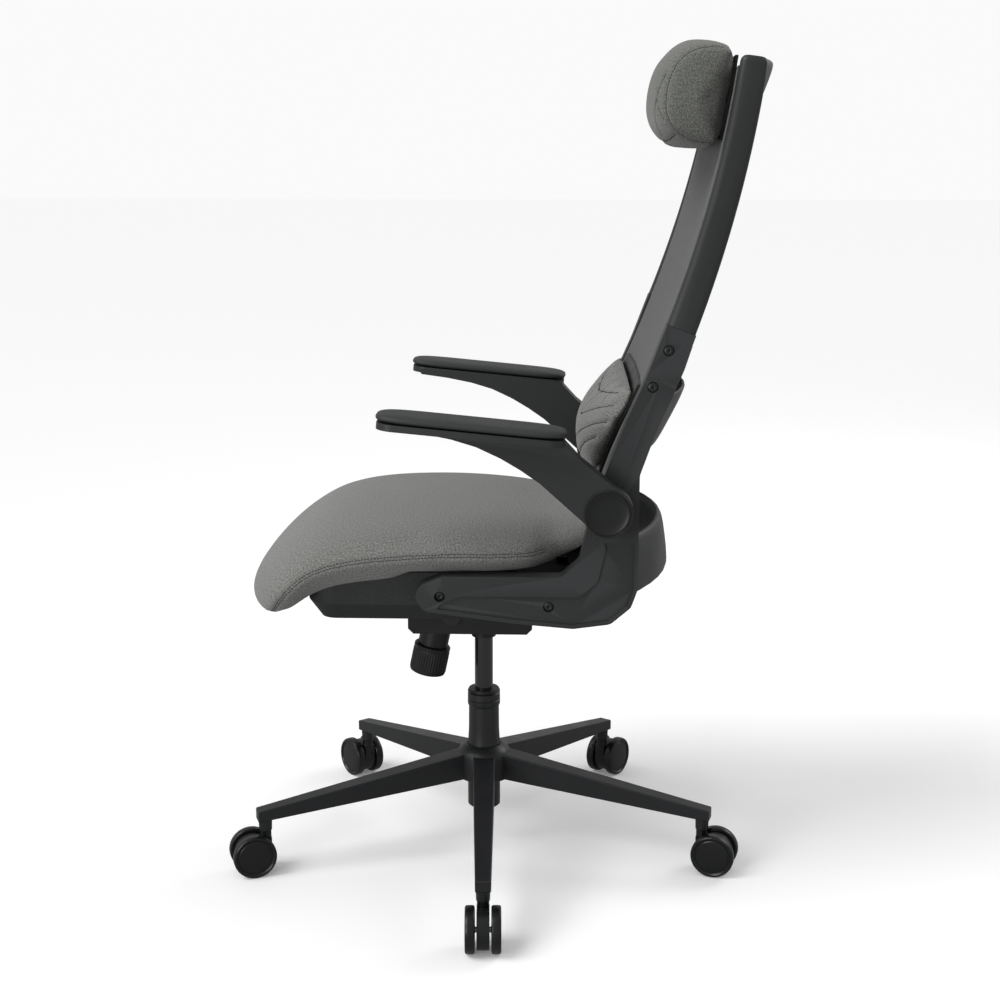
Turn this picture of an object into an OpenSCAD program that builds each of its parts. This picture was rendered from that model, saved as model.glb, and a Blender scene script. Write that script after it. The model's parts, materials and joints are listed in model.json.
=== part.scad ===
// High-backed swivel chair with flip-up arms, a reclining seat and a five-caster base.
// +Z is up, the sitter faces -Y, and the origin is on the floor under the swivel column.

/* [Base] */
// Distance from the column axis to each caster stem
stem_circle_r = 345; // [285:1:415]
// Diameter of the hub that grips the column
hub_d = 84; // [72:1:100]
// Underside of the hub above the floor
hub_z = 112; // [100:1:120]
// Height of the hub
hub_h = 53; // [45:1:70]
// Width of a leg where it leaves the hub
leg_root_w = 34; // [28:1:42]
// Height of a leg where it leaves the hub
leg_root_h = 41; // [30:1:46]
// Height of a leg at its tip
leg_tip_h = 15; // [12:1:22]
// Diameter of the socket for a caster stem
socket_d = 22; // [19:1:28]
// Height of the socket
socket_h = 32; // [26:1:40]
// Turn of the first leg from the +X direction
base_turn = 2.3; // [-36:0.1:36]

/* [Casters] */
// Diameter of a caster wheel
wheel_d = 65; // [50:1:75]
// Width of one wheel of the pair
wheel_w = 14.4; // [12:0.1:18]
// Offset of the axle from the stem
caster_trail = 20; // [14:1:26]
// Thickness of the hood between the wheels
hood_w = 17.6; // [16:0.1:24]
// Diameter of the hood's neck
neck_d = 17; // [15:0.5:20]
// Diameter of the stem
stem_d = 11; // [9:0.5:11]
// Diameter of the axle
axle_d = 8; // [6:0.5:10]

/* [Column] */
// Outer diameter of the column tube
tube_d = 50; // [46:1:60]
// Wall of the column tube
tube_wall = 2.5; // [2:0.5:4]
// Top of the column tube above the floor
tube_top_z = 250; // [230:1:262]
// Diameter of the gas cylinder
gas_d = 28; // [23:0.1:34]
// Wall of the gas cylinder
gas_wall = 2; // [1.5:0.5:3]
// Diameter of the piston rod
rod_d = 10; // [8:0.5:12]
// Travel below the height shown
lower_travel = 70; // [50:1:78]
// Travel above the height shown
raise_travel = 20; // [10:1:30]

/* [Mechanism] */
// Width of the tilt housing
housing_w = 140; // [124:1:160]
// Wall of the tilt housing
housing_wall = 3; // [2.5:0.5:5]
// Distance of the tilt pin in front of the column axis
tilt_pin_back = 45; // [42:1:52]
// Diameter of the tilt pin
tilt_pin_d = 12; // [10:1:14]
// Wire of the torsion springs
spring_wire = 5.4; // [4:0.1:6]
// Turns of each torsion spring
spring_turns = 5; // [3:1:5]
// Largest recline
recline = 15; // [8:1:16]
// Diameter of the tension knob
knob_d = 56; // [46:1:64]
// Height of the tension knob
knob_h = 45; // [36:1:48]
// Lean of the tension knob
knob_lean = 12; // [8:1:14]
// Reach of the height lever from the column axis
lever_reach = 255; // [220:1:280]

/* [Seat] */
// Underside of the seat shell above the floor
shell_z = 420; // [412:1:460]
// Width of the seat shell
shell_w = 427; // [355:1:515]
// Depth of the seat shell
shell_l = 408; // [360:1:430]
// Height of the seat shell's side
shell_h = 72; // [64:1:80]
// Wall of the seat shell
shell_wall = 3.5; // [3:0.5:5]
// How far the seat cushion overhangs the shell on each side
cushion_overhang = 36.5; // [24:0.5:50]
// Depth of the seat cushion
cushion_l = 500; // [465:1:515]
// Height of the cushion's crown above the shell's rim
cushion_h = 72; // [60:1:90]

/* [Back] */
// Lean of the backrest at the lumbar height
back_lean = 22; // [16:1:26]
// Radius of the backrest's forward curve above the lumbar height
back_radius = 1470; // [1200:10:2400]
// Radius of the backrest's return below the waist
waist_radius = 420; // [300:10:600]
// Height of the seam between a bracket and its upright
seam_z = 833; // [800:1:860]
// Top of the uprights
upright_top_z = 1186; // [1120:1:1300]
// Front-to-back depth of an upright
frame_depth = 41; // [34:1:46]
// Thickness of a side bracket and of an upright
frame_t = 28; // [23:0.1:34]
// How far each upright leans in from the seam to its top
frame_taper = 28; // [10:1:40]
// Width of the headrest
headrest_w = 340; // [260:1:350]
// Height of the headrest
headrest_h = 155; // [120:1:170]
// Depth of the headrest
headrest_depth = 92; // [60:1:110]
// How far the headrest stands above the uprights, measured along them
headrest_rise = 26; // [0:1:40]
// Width of the lumbar pad
lumbar_w = 340; // [260:1:380]
// Height of the lumbar pad
lumbar_h = 132; // [100:1:150]
// Depth of the lumbar pad
lumbar_depth = 44; // [25:1:50]

/* [Arms] */
// Height of the arm pivot above the floor
pivot_z = 593; // [580:1:610]
// Distance of the arm pivot behind the column axis
pivot_y = 179; // [172:1:186]
// Diameter of the arm pivot pin
pivot_d = 16; // [12:0.1:20]
// Diameter of the arm's hub
arm_hub_d = 68; // [56:1:76]
// Width of the arm's neck
arm_neck_w = 36; // [28:1:44]
// Length of the arm pad
pad_l = 253; // [220:1:270]
// Width of the arm pad
pad_w = 76; // [60:1:80]
// Thickness of the arm pad
pad_t = 13; // [10:1:20]

/* [Hidden] */
ARM_SIDES = ["left", "right"];
CASTERS = [1:5];
caster_nodes = [for (k = CASTERS, part = ["caster_hood_", "caster_axle_", "caster_wheel_a_", "caster_wheel_b_"]) str(part, k)];
side_nodes = [for (part = ["side_bracket_", "back_upright_", "arm_", "arm_pad_", "arm_cap_"], side = ARM_SIDES) str(part, side)];

$fn = 48;
legs = 5;
leg_step = 360 / legs;
hull_fn = 24;         // facets on round ends inside a hull
run_gap = 0.05;       // radial running clearance of shafts and pins
seat_gap = 0.3;       // gap between parts that are assembled face to face
soft_gap = 1.5;       // gap around padded parts
over = 1;             // how far a cut runs past the face it opens

plastic = "#2b2c2c";
plastic_dark = "#1d1e1e";
steel = "#8d9092";
black_steel = "#26282a";
fabric = "#6f706c";
fabric_dark = "#4c4e4b";

// Base and casters
socket_z = wheel_d + 1;
leg_tip_z = socket_z + socket_h - leg_tip_h;
leg_root_z = hub_z + 2;
leg_root_r = hub_d / 2 - 10;
stem_bottom_z = wheel_d * 0.6;
stem_top_z = socket_z + socket_h - 4;
wheel_inner_x = hood_w / 2 + 1.8;

// Column
tube_bottom_z = socket_z - 2;
tube_floor = 4;
bearing_h = 8;
bearing_top_z = tube_bottom_z + tube_floor + bearing_h;
collar_h = 4;
collar_top_z = bearing_top_z + seat_gap + collar_h;
gas_bottom_z = collar_top_z + lower_travel + 4;
guide_l = 16;
piston_z = gas_bottom_z + guide_l + raise_travel + 1;
piston_h = 12;
bush_l = 100;
bush_lip = 4;

// Mechanism: heights are measured from the housing's underside
housing_z = shell_z - 60;
housing_front = -110;
housing_back = 75;
housing_top = 48;
housing_rear_top = 16;
hub_drop = 22;        // how far the hub of the gas spring hangs below the housing
gas_top_z = housing_z + 12;
button_d = 8;
button_h = 26;
button_rise = 6;
lever_gap = 2;        // between the lever and the button, so a lever that is pulled out still clears it
lever_z = gas_top_z + button_rise + lever_gap + 4;
lever_rod_d = 8;
lever_pivot_x = -42;
sleeve_size = [62, 22, 19];
sleeve_inner_x = -30;
paddle_l = 90;
tilt_pin_z = housing_z + 30;
tilt_pin_l = housing_w + 20;
ear_t = 6;
plate_t = 4;
plate_w = 300;
plate_l = 260;
plate_y = 20;
spring_r = tilt_pin_d / 2 + 5 + spring_wire / 2;
spring_inner_x = 15;
knob_y = -83;
knob_z = housing_z - 59;
knob_neck_d = 46;
knob_neck_l = 39;
bolt_d = 10;
bolt_top = 85;
nut_size = [24, 24, 8];
nut_at = 66;

// Seat
shell_front = -240;
shell_back = shell_front + shell_l;
rim_z = shell_z + shell_h;
cushion_w = shell_w + 2 * cushion_overhang;
cushion_z = rim_z + 3.5;
cushion_front = shell_front - 100;
cushion_back = cushion_front + cushion_l;
shell_corner = 42;
shell_draft = 18;
boss_d = 18;
boss_l = 14;
plate_screws = [for (x = [-120, 120], y = [-80, 120]) [x, y]];

// Side brackets and back
bracket_inner_x = shell_w / 2 + seat_gap;
bracket_outer_x = bracket_inner_x + frame_t;
frame_x = bracket_inner_x + frame_t / 2;
lumbar_z = 790;
lumbar_y = 257;
waist_drop = 90;
tongue_wall = 5;      // bracket wall on each side of an upright's tongue
tongue = [frame_t / 2 - tongue_wall, 12];
tongue_l = 95;
bracket_screws = [[-50, shell_z + 45], [100, shell_z + 31]];
upright_screws = [seam_z - 27, seam_z - 76];
screw_d = 6;
screw_head_d = 13;
screw_head_h = 3.5;
plate_screw_l = plate_t + boss_l;
screw_sink = 8;       // depth of the seat of a bracket screw's head below the bracket's outer face
bracket_screw_l = frame_t - screw_sink + boss_l - 2;
upright_screw_l = 17;
pocket_depth = 3;
panel_t = 3;
panel_bottom_z = 592;
panel_inset = 18;
panel_sag = 6;
carrier_t = 5;

// Arms: the outline is measured from the pivot
arm_x = bracket_outer_x + 23;
arm_inner_x = arm_x - arm_neck_w / 2;
arm_outer_x = arm_x + arm_neck_w / 2;
pad_x = arm_x + 18.5;
pad_slope = -5.4;
pad_front_y = -308;
pad_seat_z = 126;
cap_t = 4;

// ---- Curves ----

// Centre line of the back seen from the side: a gentle forward curve, with a return below the waist
function back_y(z) =
    let (u = z - lumbar_z, slope = tan(back_lean))
    u >= -waist_drop
        ? lumbar_y + slope * u - u * u / (2 * back_radius)
        : let (v = u + waist_drop, low_slope = slope + waist_drop / back_radius)
          lumbar_y - slope * waist_drop - waist_drop * waist_drop / (2 * back_radius)
              + low_slope * v + v * v / (2 * waist_radius);

function back_angle(z) = atan((back_y(z + 1) - back_y(z - 1)) / 2);

// Centre of an upright across the chair
function upright_x(z) = frame_x - frame_taper * max(0, z - seam_z) / (upright_top_z - seam_z);

// Front face of the fabric panel
function panel_half_w(z) = upright_x(z) - frame_t / 2 - 0.5;
function panel_y(x, z) =
    let (across = min(1, abs(x) / panel_half_w(z)))
    back_y(z) - panel_inset + panel_sag * (1 - across * across);

function squircle(a, b, power = 4, n = 20) = [
    for (i = [0:n - 1])
        let (t = 360 * i / n, c = cos(t), s = sin(t))
        [a * sign(c) * pow(abs(c), 2 / power), b * sign(s) * pow(abs(s), 2 / power)]
];

// ---- Helpers ----

// Closed solid through a row of convex rings with the same number of points
module loft(rings) {
    n = len(rings[0]);
    m = len(rings);
    sides = [
        for (i = [0:m - 2], j = [0:n - 1])
            let (a = i * n + j, b = i * n + (j + 1) % n, c = a + n, d = b + n)
            each [[a, c, b], [b, c, d]]
    ];
    first = [for (j = [0:n - 1]) j];
    last = [for (j = [n - 1:-1:0]) (m - 1) * n + j];
    polyhedron([for (r = rings) each r], concat(sides, [first, last]), convexity = 6);
}

// Closed solid between two grids of points, one behind the other
module between(front, back) {
    rows = len(front);
    cols = len(front[0]);
    far = rows * cols;
    grid = [for (i = [0:rows - 2], j = [0:cols - 2]) [i * cols + j, i * cols + j + 1, (i + 1) * cols + j, (i + 1) * cols + j + 1]];
    rim = concat(
        [for (j = [0:cols - 2]) [j, j + 1]],
        [for (i = [0:rows - 2]) [i * cols + cols - 1, (i + 1) * cols + cols - 1]],
        [for (j = [cols - 1:-1:1]) [(rows - 1) * cols + j, (rows - 1) * cols + j - 1]],
        [for (i = [rows - 1:-1:1]) [i * cols, (i - 1) * cols]]
    );
    polyhedron(
        concat([for (r = front) each r], [for (r = back) each r]),
        concat(
            [for (q = grid) each [[q[0], q[2], q[1]], [q[1], q[2], q[3]]]],
            [for (q = grid) each [[far + q[0], far + q[1], far + q[2]], [far + q[1], far + q[3], far + q[2]]]],
            [for (e = rim) each [[e[0], e[1], far + e[0]], [e[1], far + e[1], far + e[0]]]]
        ),
        convexity = 6
    );
}

// Flat slab with round vertical corners, centred on x and y
module slab(w, l, h, r) {
    for (x = [-1, 1], y = [-1, 1])
        translate([x * (w / 2 - r), y * (l / 2 - r), 0])
            cylinder(r = r, h = h);
    translate([-w / 2 + r, -l / 2, 0])
        cube([w - 2 * r, l, h]);
    translate([-w / 2, -l / 2 + r, 0])
        cube([w, l - 2 * r, h]);
}

// Side outline in y and z, extruded across the chair from x
module side_extrude(x, w)
    translate([x, 0, 0])
        rotate([90, 0, 90])
            linear_extrude(height = w)
                children();

module along_x(x, y, z, d, l)
    translate([x, y, z])
        rotate([0, 90, 0])
            cylinder(d = d, h = l);

module on_side(side)
    if (side == "left") children();
    else mirror([1, 0, 0]) children();

module at_caster(k)
    rotate(base_turn + leg_step * (k - 1))
        translate([stem_circle_r, 0, 0])
            children();

module at_every_caster()
    for (k = CASTERS)
        at_caster(k)
            children();

module knob_frame()
    translate([0, knob_y, knob_z])
        rotate([-knob_lean, 0, 0])
            children();

// Button-head screw pointing along +z, with its head's seat at z = 0
module screw(l) {
    difference() {
        translate([0, 0, -screw_head_h])
            cylinder(d1 = screw_head_d * 0.75, d2 = screw_head_d, h = screw_head_h);
        translate([0, 0, -screw_head_h - over])
            cylinder(d = 4.6, h = screw_head_h, $fn = 6);
    }
    cylinder(d = screw_d, h = l);
}

// ---- Base ----

// Height of a leg's top surface at a distance from the column axis
function leg_top(r) =
    let (t = (r - leg_root_r) / (stem_circle_r - leg_root_r))
    (leg_root_z + leg_root_h) * (1 - t) + (leg_tip_z + leg_tip_h) * t;

module leg() {
    crown_r = leg_root_w * 0.38;
    hull() {
        translate([leg_root_r, -leg_root_w / 2, leg_root_z])
            cube([2, leg_root_w, leg_root_h * 0.4]);
        translate([leg_root_r, 0, leg_root_z + leg_root_h - crown_r])
            rotate([0, 90, 0])
                cylinder(r = crown_r, h = 2, $fn = hull_fn);
        translate([stem_circle_r, 0, leg_tip_z])
            cylinder(d = socket_d, h = leg_tip_h - 3, $fn = hull_fn);
        translate([stem_circle_r, 0, leg_tip_z])
            cylinder(d = socket_d - 5, h = leg_tip_h, $fn = hull_fn);
    }
}

// Hollows under a leg, with cross ribs left between them
module leg_pockets() {
    pockets = 4;
    rib = 5;
    wall = 8;
    start_r = hub_d / 2 + 14;
    end_r = stem_circle_r - socket_d / 2 - 26;
    step = (end_r - start_r) / pockets;
    for (i = [0:pockets - 1]) {
        far_r = start_r + step * (i + 1) - rib;
        translate([start_r + step * i, -socket_d / 4, 0])
            cube([step - rib, socket_d / 2, leg_top(far_r) - wall]);
    }
}

module star_base() color(plastic) difference() {
    union() {
        translate([0, 0, hub_z])
            cylinder(d = hub_d, h = hub_h - 8);
        translate([0, 0, hub_z + hub_h - 8])
            cylinder(d1 = hub_d, d2 = tube_d + 12, h = 8);
        for (k = CASTERS)
            rotate(base_turn + leg_step * (k - 1))
                leg();
        at_every_caster()
            translate([0, 0, socket_z])
                cylinder(d = socket_d, h = socket_h - 2);
    }
    translate([0, 0, hub_z - over])
        cylinder(d = tube_d + 2 * run_gap, h = hub_h + 2 * over);
    at_every_caster()
        translate([0, 0, socket_z - over])
            cylinder(d = stem_d + 2 * run_gap, h = stem_top_z - socket_z + over + seat_gap);
    for (k = CASTERS)
        rotate(base_turn + leg_step * (k - 1))
            leg_pockets();
}

module caster_stems() color(steel) at_every_caster() {
    translate([0, 0, stem_bottom_z])
        cylinder(d = stem_d, h = stem_top_z - stem_bottom_z - 2);
    translate([0, 0, stem_top_z - 2])
        cylinder(d1 = stem_d, d2 = stem_d - 3, h = 2);
}

// ---- Casters ----

module caster_hood(k) color(plastic_dark) at_caster(k) {
    axle_z = wheel_d / 2;
    web_r = wheel_d / 2 - 5;
    neck_top = socket_z - 0.5;
    neck_half = neck_d / 2 - 0.8;
    shoulder_z = neck_top - 9;
    difference() {
        union() {
            translate([0, hood_w / 2, 0])
                rotate([90, 0, 0])
                    linear_extrude(height = hood_w) {
                        translate([caster_trail, axle_z])
                            circle(r = web_r);
                        polygon([
                            [-neck_half, shoulder_z], [neck_half, shoulder_z],
                            [caster_trail + web_r * 0.7, axle_z + web_r * 0.7], [caster_trail, axle_z],
                            [caster_trail - web_r * 0.99, axle_z + 2], [-neck_half, axle_z + web_r * 0.45]
                        ]);
                    }
            translate([0, 0, axle_z + 8])
                cylinder(d = neck_d, h = neck_top - axle_z - 8);
        }
        translate([0, 0, stem_bottom_z - seat_gap])
            cylinder(d = stem_d + 2 * run_gap, h = wheel_d);
        translate([caster_trail, hood_w / 2 + over, axle_z])
            rotate([90, 0, 0])
                cylinder(d = axle_d + 2 * run_gap, h = hood_w + 2 * over);
    }
}

module caster_axle(k) color(steel) at_caster(k) {
    reach = wheel_inner_x + wheel_w - 4;
    translate([caster_trail, reach, wheel_d / 2])
        rotate([90, 0, 0])
            cylinder(d = axle_d, h = 2 * reach);
}

// One wheel of the pair: a domed outer face with a rim ring, a hollow inner face and a blind bore
module caster_wheel(k, side) color(plastic_dark) at_caster(k) {
    r = wheel_d / 2;
    bore_l = wheel_w - 3.5;
    translate([caster_trail, side * wheel_inner_x, r])
        rotate([-90 * side, 0, 0])
            difference() {
                rotate_extrude($fn = 96)
                    polygon([
                        [axle_d / 2 + 3, 0], [r - 7, 0], [r - 7, 1], [r - 1.5, 1], [r, 2.5], [r, wheel_w - 4],
                        [r - 1.5, wheel_w - 2], [r - 5, wheel_w - 1.5], [r - 6, wheel_w - 2.4],
                        [r - 7, wheel_w - 1.2], [r * 0.4, wheel_w], [0, wheel_w], [0, bore_l], [axle_d / 2 + 3, bore_l]
                    ]);
                translate([0, 0, -over])
                    difference() {
                        cylinder(r = r - 8, h = wheel_w * 0.5 + over);
                        cylinder(r = axle_d / 2 + 5, h = wheel_w);
                    }
            }
    translate([caster_trail, side * wheel_inner_x, r])
        rotate([-90 * side, 0, 0])
            difference() {
                cylinder(r = axle_d / 2 + 3.5, h = bore_l);
                translate([0, 0, -over])
                    cylinder(r = axle_d / 2 + run_gap, h = bore_l + over - 0.2);
            }
}

// ---- Column ----

module column_tube() color(black_steel) difference() {
    translate([0, 0, tube_bottom_z])
        cylinder(d = tube_d, h = tube_top_z - tube_bottom_z);
    translate([0, 0, tube_bottom_z + tube_floor])
        cylinder(d = tube_d - 2 * tube_wall, h = tube_top_z);
    translate([0, 0, tube_bottom_z - over])
        cylinder(d = rod_d + 2 * seat_gap, h = tube_floor + 2 * over);
}

module column_bush() color(plastic_dark) difference() {
    union() {
        translate([0, 0, tube_top_z - bush_l])
            cylinder(d = tube_d - 2 * tube_wall - 2 * run_gap, h = bush_l);
        translate([0, 0, tube_top_z])
            cylinder(d1 = tube_d, d2 = tube_d - 4, h = bush_lip);
    }
    translate([0, 0, tube_top_z - bush_l - over])
        cylinder(d = gas_d + 2 * run_gap, h = bush_l + bush_lip + 2 * over);
}

module rod_bearing() color(steel)
    translate([0, 0, tube_bottom_z + tube_floor])
        rotate_extrude()
            polygon([
                [rod_d / 2 + run_gap, 0], [15, 0], [15, 2.4], [13, 2.8], [13, bearing_h - 2.8],
                [15, bearing_h - 2.4], [15, bearing_h], [rod_d / 2 + run_gap, bearing_h]
            ]);

module piston_rod() color(steel) {
    rod_end = tube_bottom_z - 6;
    translate([0, 0, rod_end])
        cylinder(d = rod_d, h = piston_z - rod_end);
    translate([0, 0, bearing_top_z + seat_gap])
        cylinder(d = rod_d + 12, h = collar_h);
    translate([0, 0, piston_z])
        cylinder(d = gas_d - 2 * gas_wall - 2 * run_gap, h = piston_h);
}

module rod_clip() color(steel)
    translate([0, 0, tube_bottom_z - 3])
        difference() {
            cylinder(d = rod_d + 10, h = 2.4);
            translate([0, 0, -over])
                cylinder(d = rod_d + 2 * run_gap, h = 3 * over + 2.4);
        }

module gas_cylinder() color("#1a1b1c") difference() {
    translate([0, 0, gas_bottom_z])
        cylinder(d = gas_d, h = gas_top_z - gas_bottom_z);
    translate([0, 0, gas_bottom_z - over])
        cylinder(d = rod_d + 2 * run_gap, h = guide_l + 2 * over);
    translate([0, 0, gas_bottom_z + guide_l])
        cylinder(d = gas_d - 2 * gas_wall, h = gas_top_z - button_h - 6 - gas_bottom_z - guide_l);
    translate([0, 0, gas_top_z - button_h])
        cylinder(d = button_d + 2 * run_gap, h = button_h + over);
}

module gas_button() color(steel)
    translate([0, 0, gas_top_z + button_rise - button_h])
        cylinder(d = button_d, h = button_h);

// ---- Tilt mechanism ----

module housing_outline()
    polygon([
        [housing_front, 8], [housing_front + 8, 0], [housing_back - 8, 0], [housing_back, 8],
        [housing_back, housing_rear_top], [-25, housing_top - 4], [-31, housing_top], [housing_front, housing_top]
    ]);

module housing_cavity()
    polygon([
        [housing_front + housing_wall, 9 + housing_wall], [housing_front + 9, housing_wall],
        [housing_back - 9, housing_wall], [housing_back - housing_wall, 9 + housing_wall],
        [housing_back - housing_wall, housing_top + over], [housing_front + housing_wall, housing_top + over]
    ]);

module tilt_housing() color(plastic_dark) {
    inner_w = housing_w - 2 * housing_wall;
    hub_top = gas_top_z + 2;
    hub_bottom = housing_z - hub_drop;
    cradle_l = housing_w / 2 - housing_wall + sleeve_inner_x;
    difference() {
        union() {
            difference() {
                translate([0, 0, housing_z])
                    side_extrude(-housing_w / 2, housing_w)
                        housing_outline();
                translate([0, 0, housing_z])
                    side_extrude(-inner_w / 2, inner_w)
                        housing_cavity();
            }
            translate([0, 0, hub_bottom])
                cylinder(d = gas_d + 9, h = hub_top - hub_bottom);
            translate([0, 0, housing_z - hub_drop / 3])
                cylinder(d1 = gas_d + 14, d2 = gas_d + 26, h = hub_drop / 3 + housing_wall);
            knob_frame()
                translate([0, 0, knob_h / 2 + 0.8])
                    cylinder(d = knob_neck_d, h = knob_neck_l);
            translate([-housing_w / 2 + housing_wall, -sleeve_size[1] / 2 - 3.5, housing_z + housing_wall])
                cube([cradle_l, sleeve_size[1] + 7, lever_z - housing_z - housing_wall]);
        }
        translate([0, 0, hub_bottom - over])
            cylinder(d = gas_d + 2 * run_gap, h = gas_top_z - hub_bottom + over);
        translate([0, 0, housing_z])
            cylinder(d = button_d + 6, h = housing_top);
        along_x(-housing_w / 2 - over, -tilt_pin_back, tilt_pin_z, tilt_pin_d + 2 * run_gap, housing_w + 2 * over);
        translate([-housing_w / 2 - over, -sleeve_size[1] / 2 - seat_gap, lever_z - sleeve_size[2] / 2 - seat_gap])
            cube([housing_w / 2 + sleeve_inner_x + 4, sleeve_size[1] + 2 * seat_gap, sleeve_size[2] + 2 * seat_gap]);
        knob_frame()
            cylinder(d = bolt_d + 2 * run_gap, h = bolt_top);
    }
}

module tilt_pin() color(steel)
    along_x(-tilt_pin_l / 2, -tilt_pin_back, tilt_pin_z, tilt_pin_d, tilt_pin_l);

// Torsion spring wound around the x axis from x = 0
module coil(turns, r, wire, pitch) {
    per_turn = 20;
    sides = 8;
    loft([
        for (i = [0:turns * per_turn])
            let (a = 360 * i / per_turn, x = wire / 2 + pitch * i / per_turn)
            [for (j = [0:sides - 1])
                let (b = 360 * j / sides, rr = r + wire / 2 * cos(b))
                [x + wire / 2 * sin(b), rr * cos(a), rr * sin(a)]]
    ]);
}

module tilt_springs() color(steel)
    translate([0, -tilt_pin_back, tilt_pin_z])
        for (side = [0, 1])
            mirror([side, 0, 0])
                translate([spring_inner_x, 0, 0])
                    coil(spring_turns, spring_r, spring_wire, spring_wire + 0.8);

module tension_knob() color(plastic_dark) knob_frame() {
    flutes = 24;
    difference() {
        union() {
            translate([0, 0, -knob_h / 2 + 4])
                cylinder(d = knob_d, h = knob_h - 6);
            translate([0, 0, -knob_h / 2])
                cylinder(d1 = knob_d - 8, d2 = knob_d, h = 4);
            translate([0, 0, knob_h / 2 - 2])
                cylinder(d1 = knob_d, d2 = knob_d - 4, h = 2);
        }
        for (i = [0:flutes - 1])
            rotate(360 * i / flutes)
                translate([knob_d / 2 + 1.2, 0, -knob_h / 2 + 5])
                    cylinder(d = 4, h = knob_h - 13, $fn = 16);
        cylinder(d = bolt_d, h = knob_h);
    }
}

module tension_bolt() color(steel) knob_frame()
    translate([0, 0, seat_gap])
        cylinder(d = bolt_d, h = bolt_top - 2 * seat_gap);

module tension_nut() color(steel) knob_frame()
    translate([0, 0, nut_at])
        difference() {
            translate([-nut_size[0] / 2, -nut_size[1] / 2, 0])
                cube(nut_size);
            translate([0, 0, -over])
                cylinder(d = bolt_d + 2 * run_gap, h = nut_size[2] + 2 * over);
        }

// ---- Height lever ----

module lever_sleeve() color(plastic_dark) {
    slot = [sleeve_size[0] + 2 * over, 10, 15.6];
    difference() {
        translate([sleeve_inner_x - sleeve_size[0], -sleeve_size[1] / 2, lever_z - sleeve_size[2] / 2])
            cube(sleeve_size);
        translate([sleeve_inner_x - sleeve_size[0] - over, -slot[1] / 2, lever_z - slot[2] / 2])
            cube(slot);
        translate([lever_pivot_x, sleeve_size[1] / 2 + over, lever_z])
            rotate([90, 0, 0])
                cylinder(d = 5 + 2 * run_gap, h = sleeve_size[1] + 2 * over);
    }
}

module height_lever() color(plastic_dark) {
    inner_end = 14;
    along_x(paddle_l - lever_reach - 6, 0, lever_z, lever_rod_d, lever_reach - paddle_l + 6 + inner_end);
    translate([lever_pivot_x, (sleeve_size[1] - 1) / 2, lever_z])
        rotate([90, 0, 0])
            cylinder(d = 5, h = sleeve_size[1] - 1);
    hull()
        for (x = [paddle_l - lever_reach - 12, 9 - lever_reach])
            translate([x, 0, lever_z])
                scale([1, 1, 0.5])
                    sphere(r = 9 + (x < -lever_reach + 20 ? 3 : 0), $fn = hull_fn);
}

// ---- Seat ----

module seat_plate() color(black_steel) {
    ear_r = tilt_pin_d / 2 + 9;
    under_z = shell_z - seat_gap - plate_t;
    difference() {
        union() {
            translate([0, plate_y, under_z])
                slab(plate_w, plate_l, plate_t, 30);
            for (x = [housing_w / 2 + 1, -housing_w / 2 - 1 - ear_t]) {
                along_x(x, -tilt_pin_back, tilt_pin_z, 2 * ear_r, ear_t);
                translate([x, -tilt_pin_back - ear_r, tilt_pin_z])
                    cube([ear_t, 2 * ear_r, under_z - tilt_pin_z + over]);
            }
        }
        along_x(-plate_w / 2, -tilt_pin_back, tilt_pin_z, tilt_pin_d + 2 * run_gap, plate_w);
        for (p = plate_screws)
            translate([p[0], p[1], under_z - over])
                cylinder(d = screw_d + 2 * run_gap, h = plate_t + 2 * over);
    }
}

// Tray with rounded corners that narrows towards its floor
module tray(w, l, h, r, draft) hull() {
    translate([0, 0, h - 1])
        linear_extrude(height = 1)
            offset(r = r, $fn = 40)
                square([w - 2 * r, l - 2 * r], center = true);
    translate([0, 0, h * 0.35])
        linear_extrude(height = 1)
            offset(r = r, $fn = 40)
                square([w - 2 * r, l - 2 * r], center = true);
    linear_extrude(height = 1)
        offset(r = r - draft, $fn = 40)
            square([w - 2 * r, l - 2 * r], center = true);
}

module seat_shell() color("#232323") {
    mid_y = (shell_front + shell_back) / 2;
    difference() {
        union() {
            difference() {
                translate([0, mid_y, shell_z])
                    tray(shell_w, shell_l, shell_h, shell_corner, shell_draft);
                translate([0, mid_y, shell_z + shell_wall])
                    tray(shell_w - 2 * shell_wall, shell_l - 2 * shell_wall, shell_h, shell_corner - shell_wall, shell_draft);
            }
            for (p = plate_screws)
                translate([p[0], p[1], shell_z])
                    cylinder(d = boss_d, h = boss_l);
            for (p = bracket_screws, x = [-shell_w / 2, shell_w / 2 - boss_l])
                along_x(x, p[0], p[1], boss_d, boss_l);
        }
        for (p = plate_screws)
            translate([p[0], p[1], shell_z - over])
                cylinder(d = screw_d + 2 * run_gap, h = boss_l + 2 * over);
        for (p = bracket_screws)
            along_x(-shell_w / 2 - over, p[0], p[1], screw_d + 2 * run_gap, shell_w + 2 * over);
    }
}

// Outline of the cushion from above: widest ahead of the brackets and narrower between them
module cushion_plan(inset) {
    round_r = 60;
    wide = cushion_w / 2;
    narrow = bracket_inner_x - soft_gap - 2;
    neck_y = 108;
    wide_y = neck_y - (wide - narrow) * 1.25;
    offset(r = round_r, $fn = 48)
        offset(delta = -round_r - inset)
            polygon([
                [-wide, cushion_front], [wide, cushion_front], [wide, wide_y], [narrow, neck_y],
                [narrow - 6, cushion_back], [-narrow + 6, cushion_back], [-narrow, neck_y], [-wide, wide_y]
            ]);
}

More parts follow.
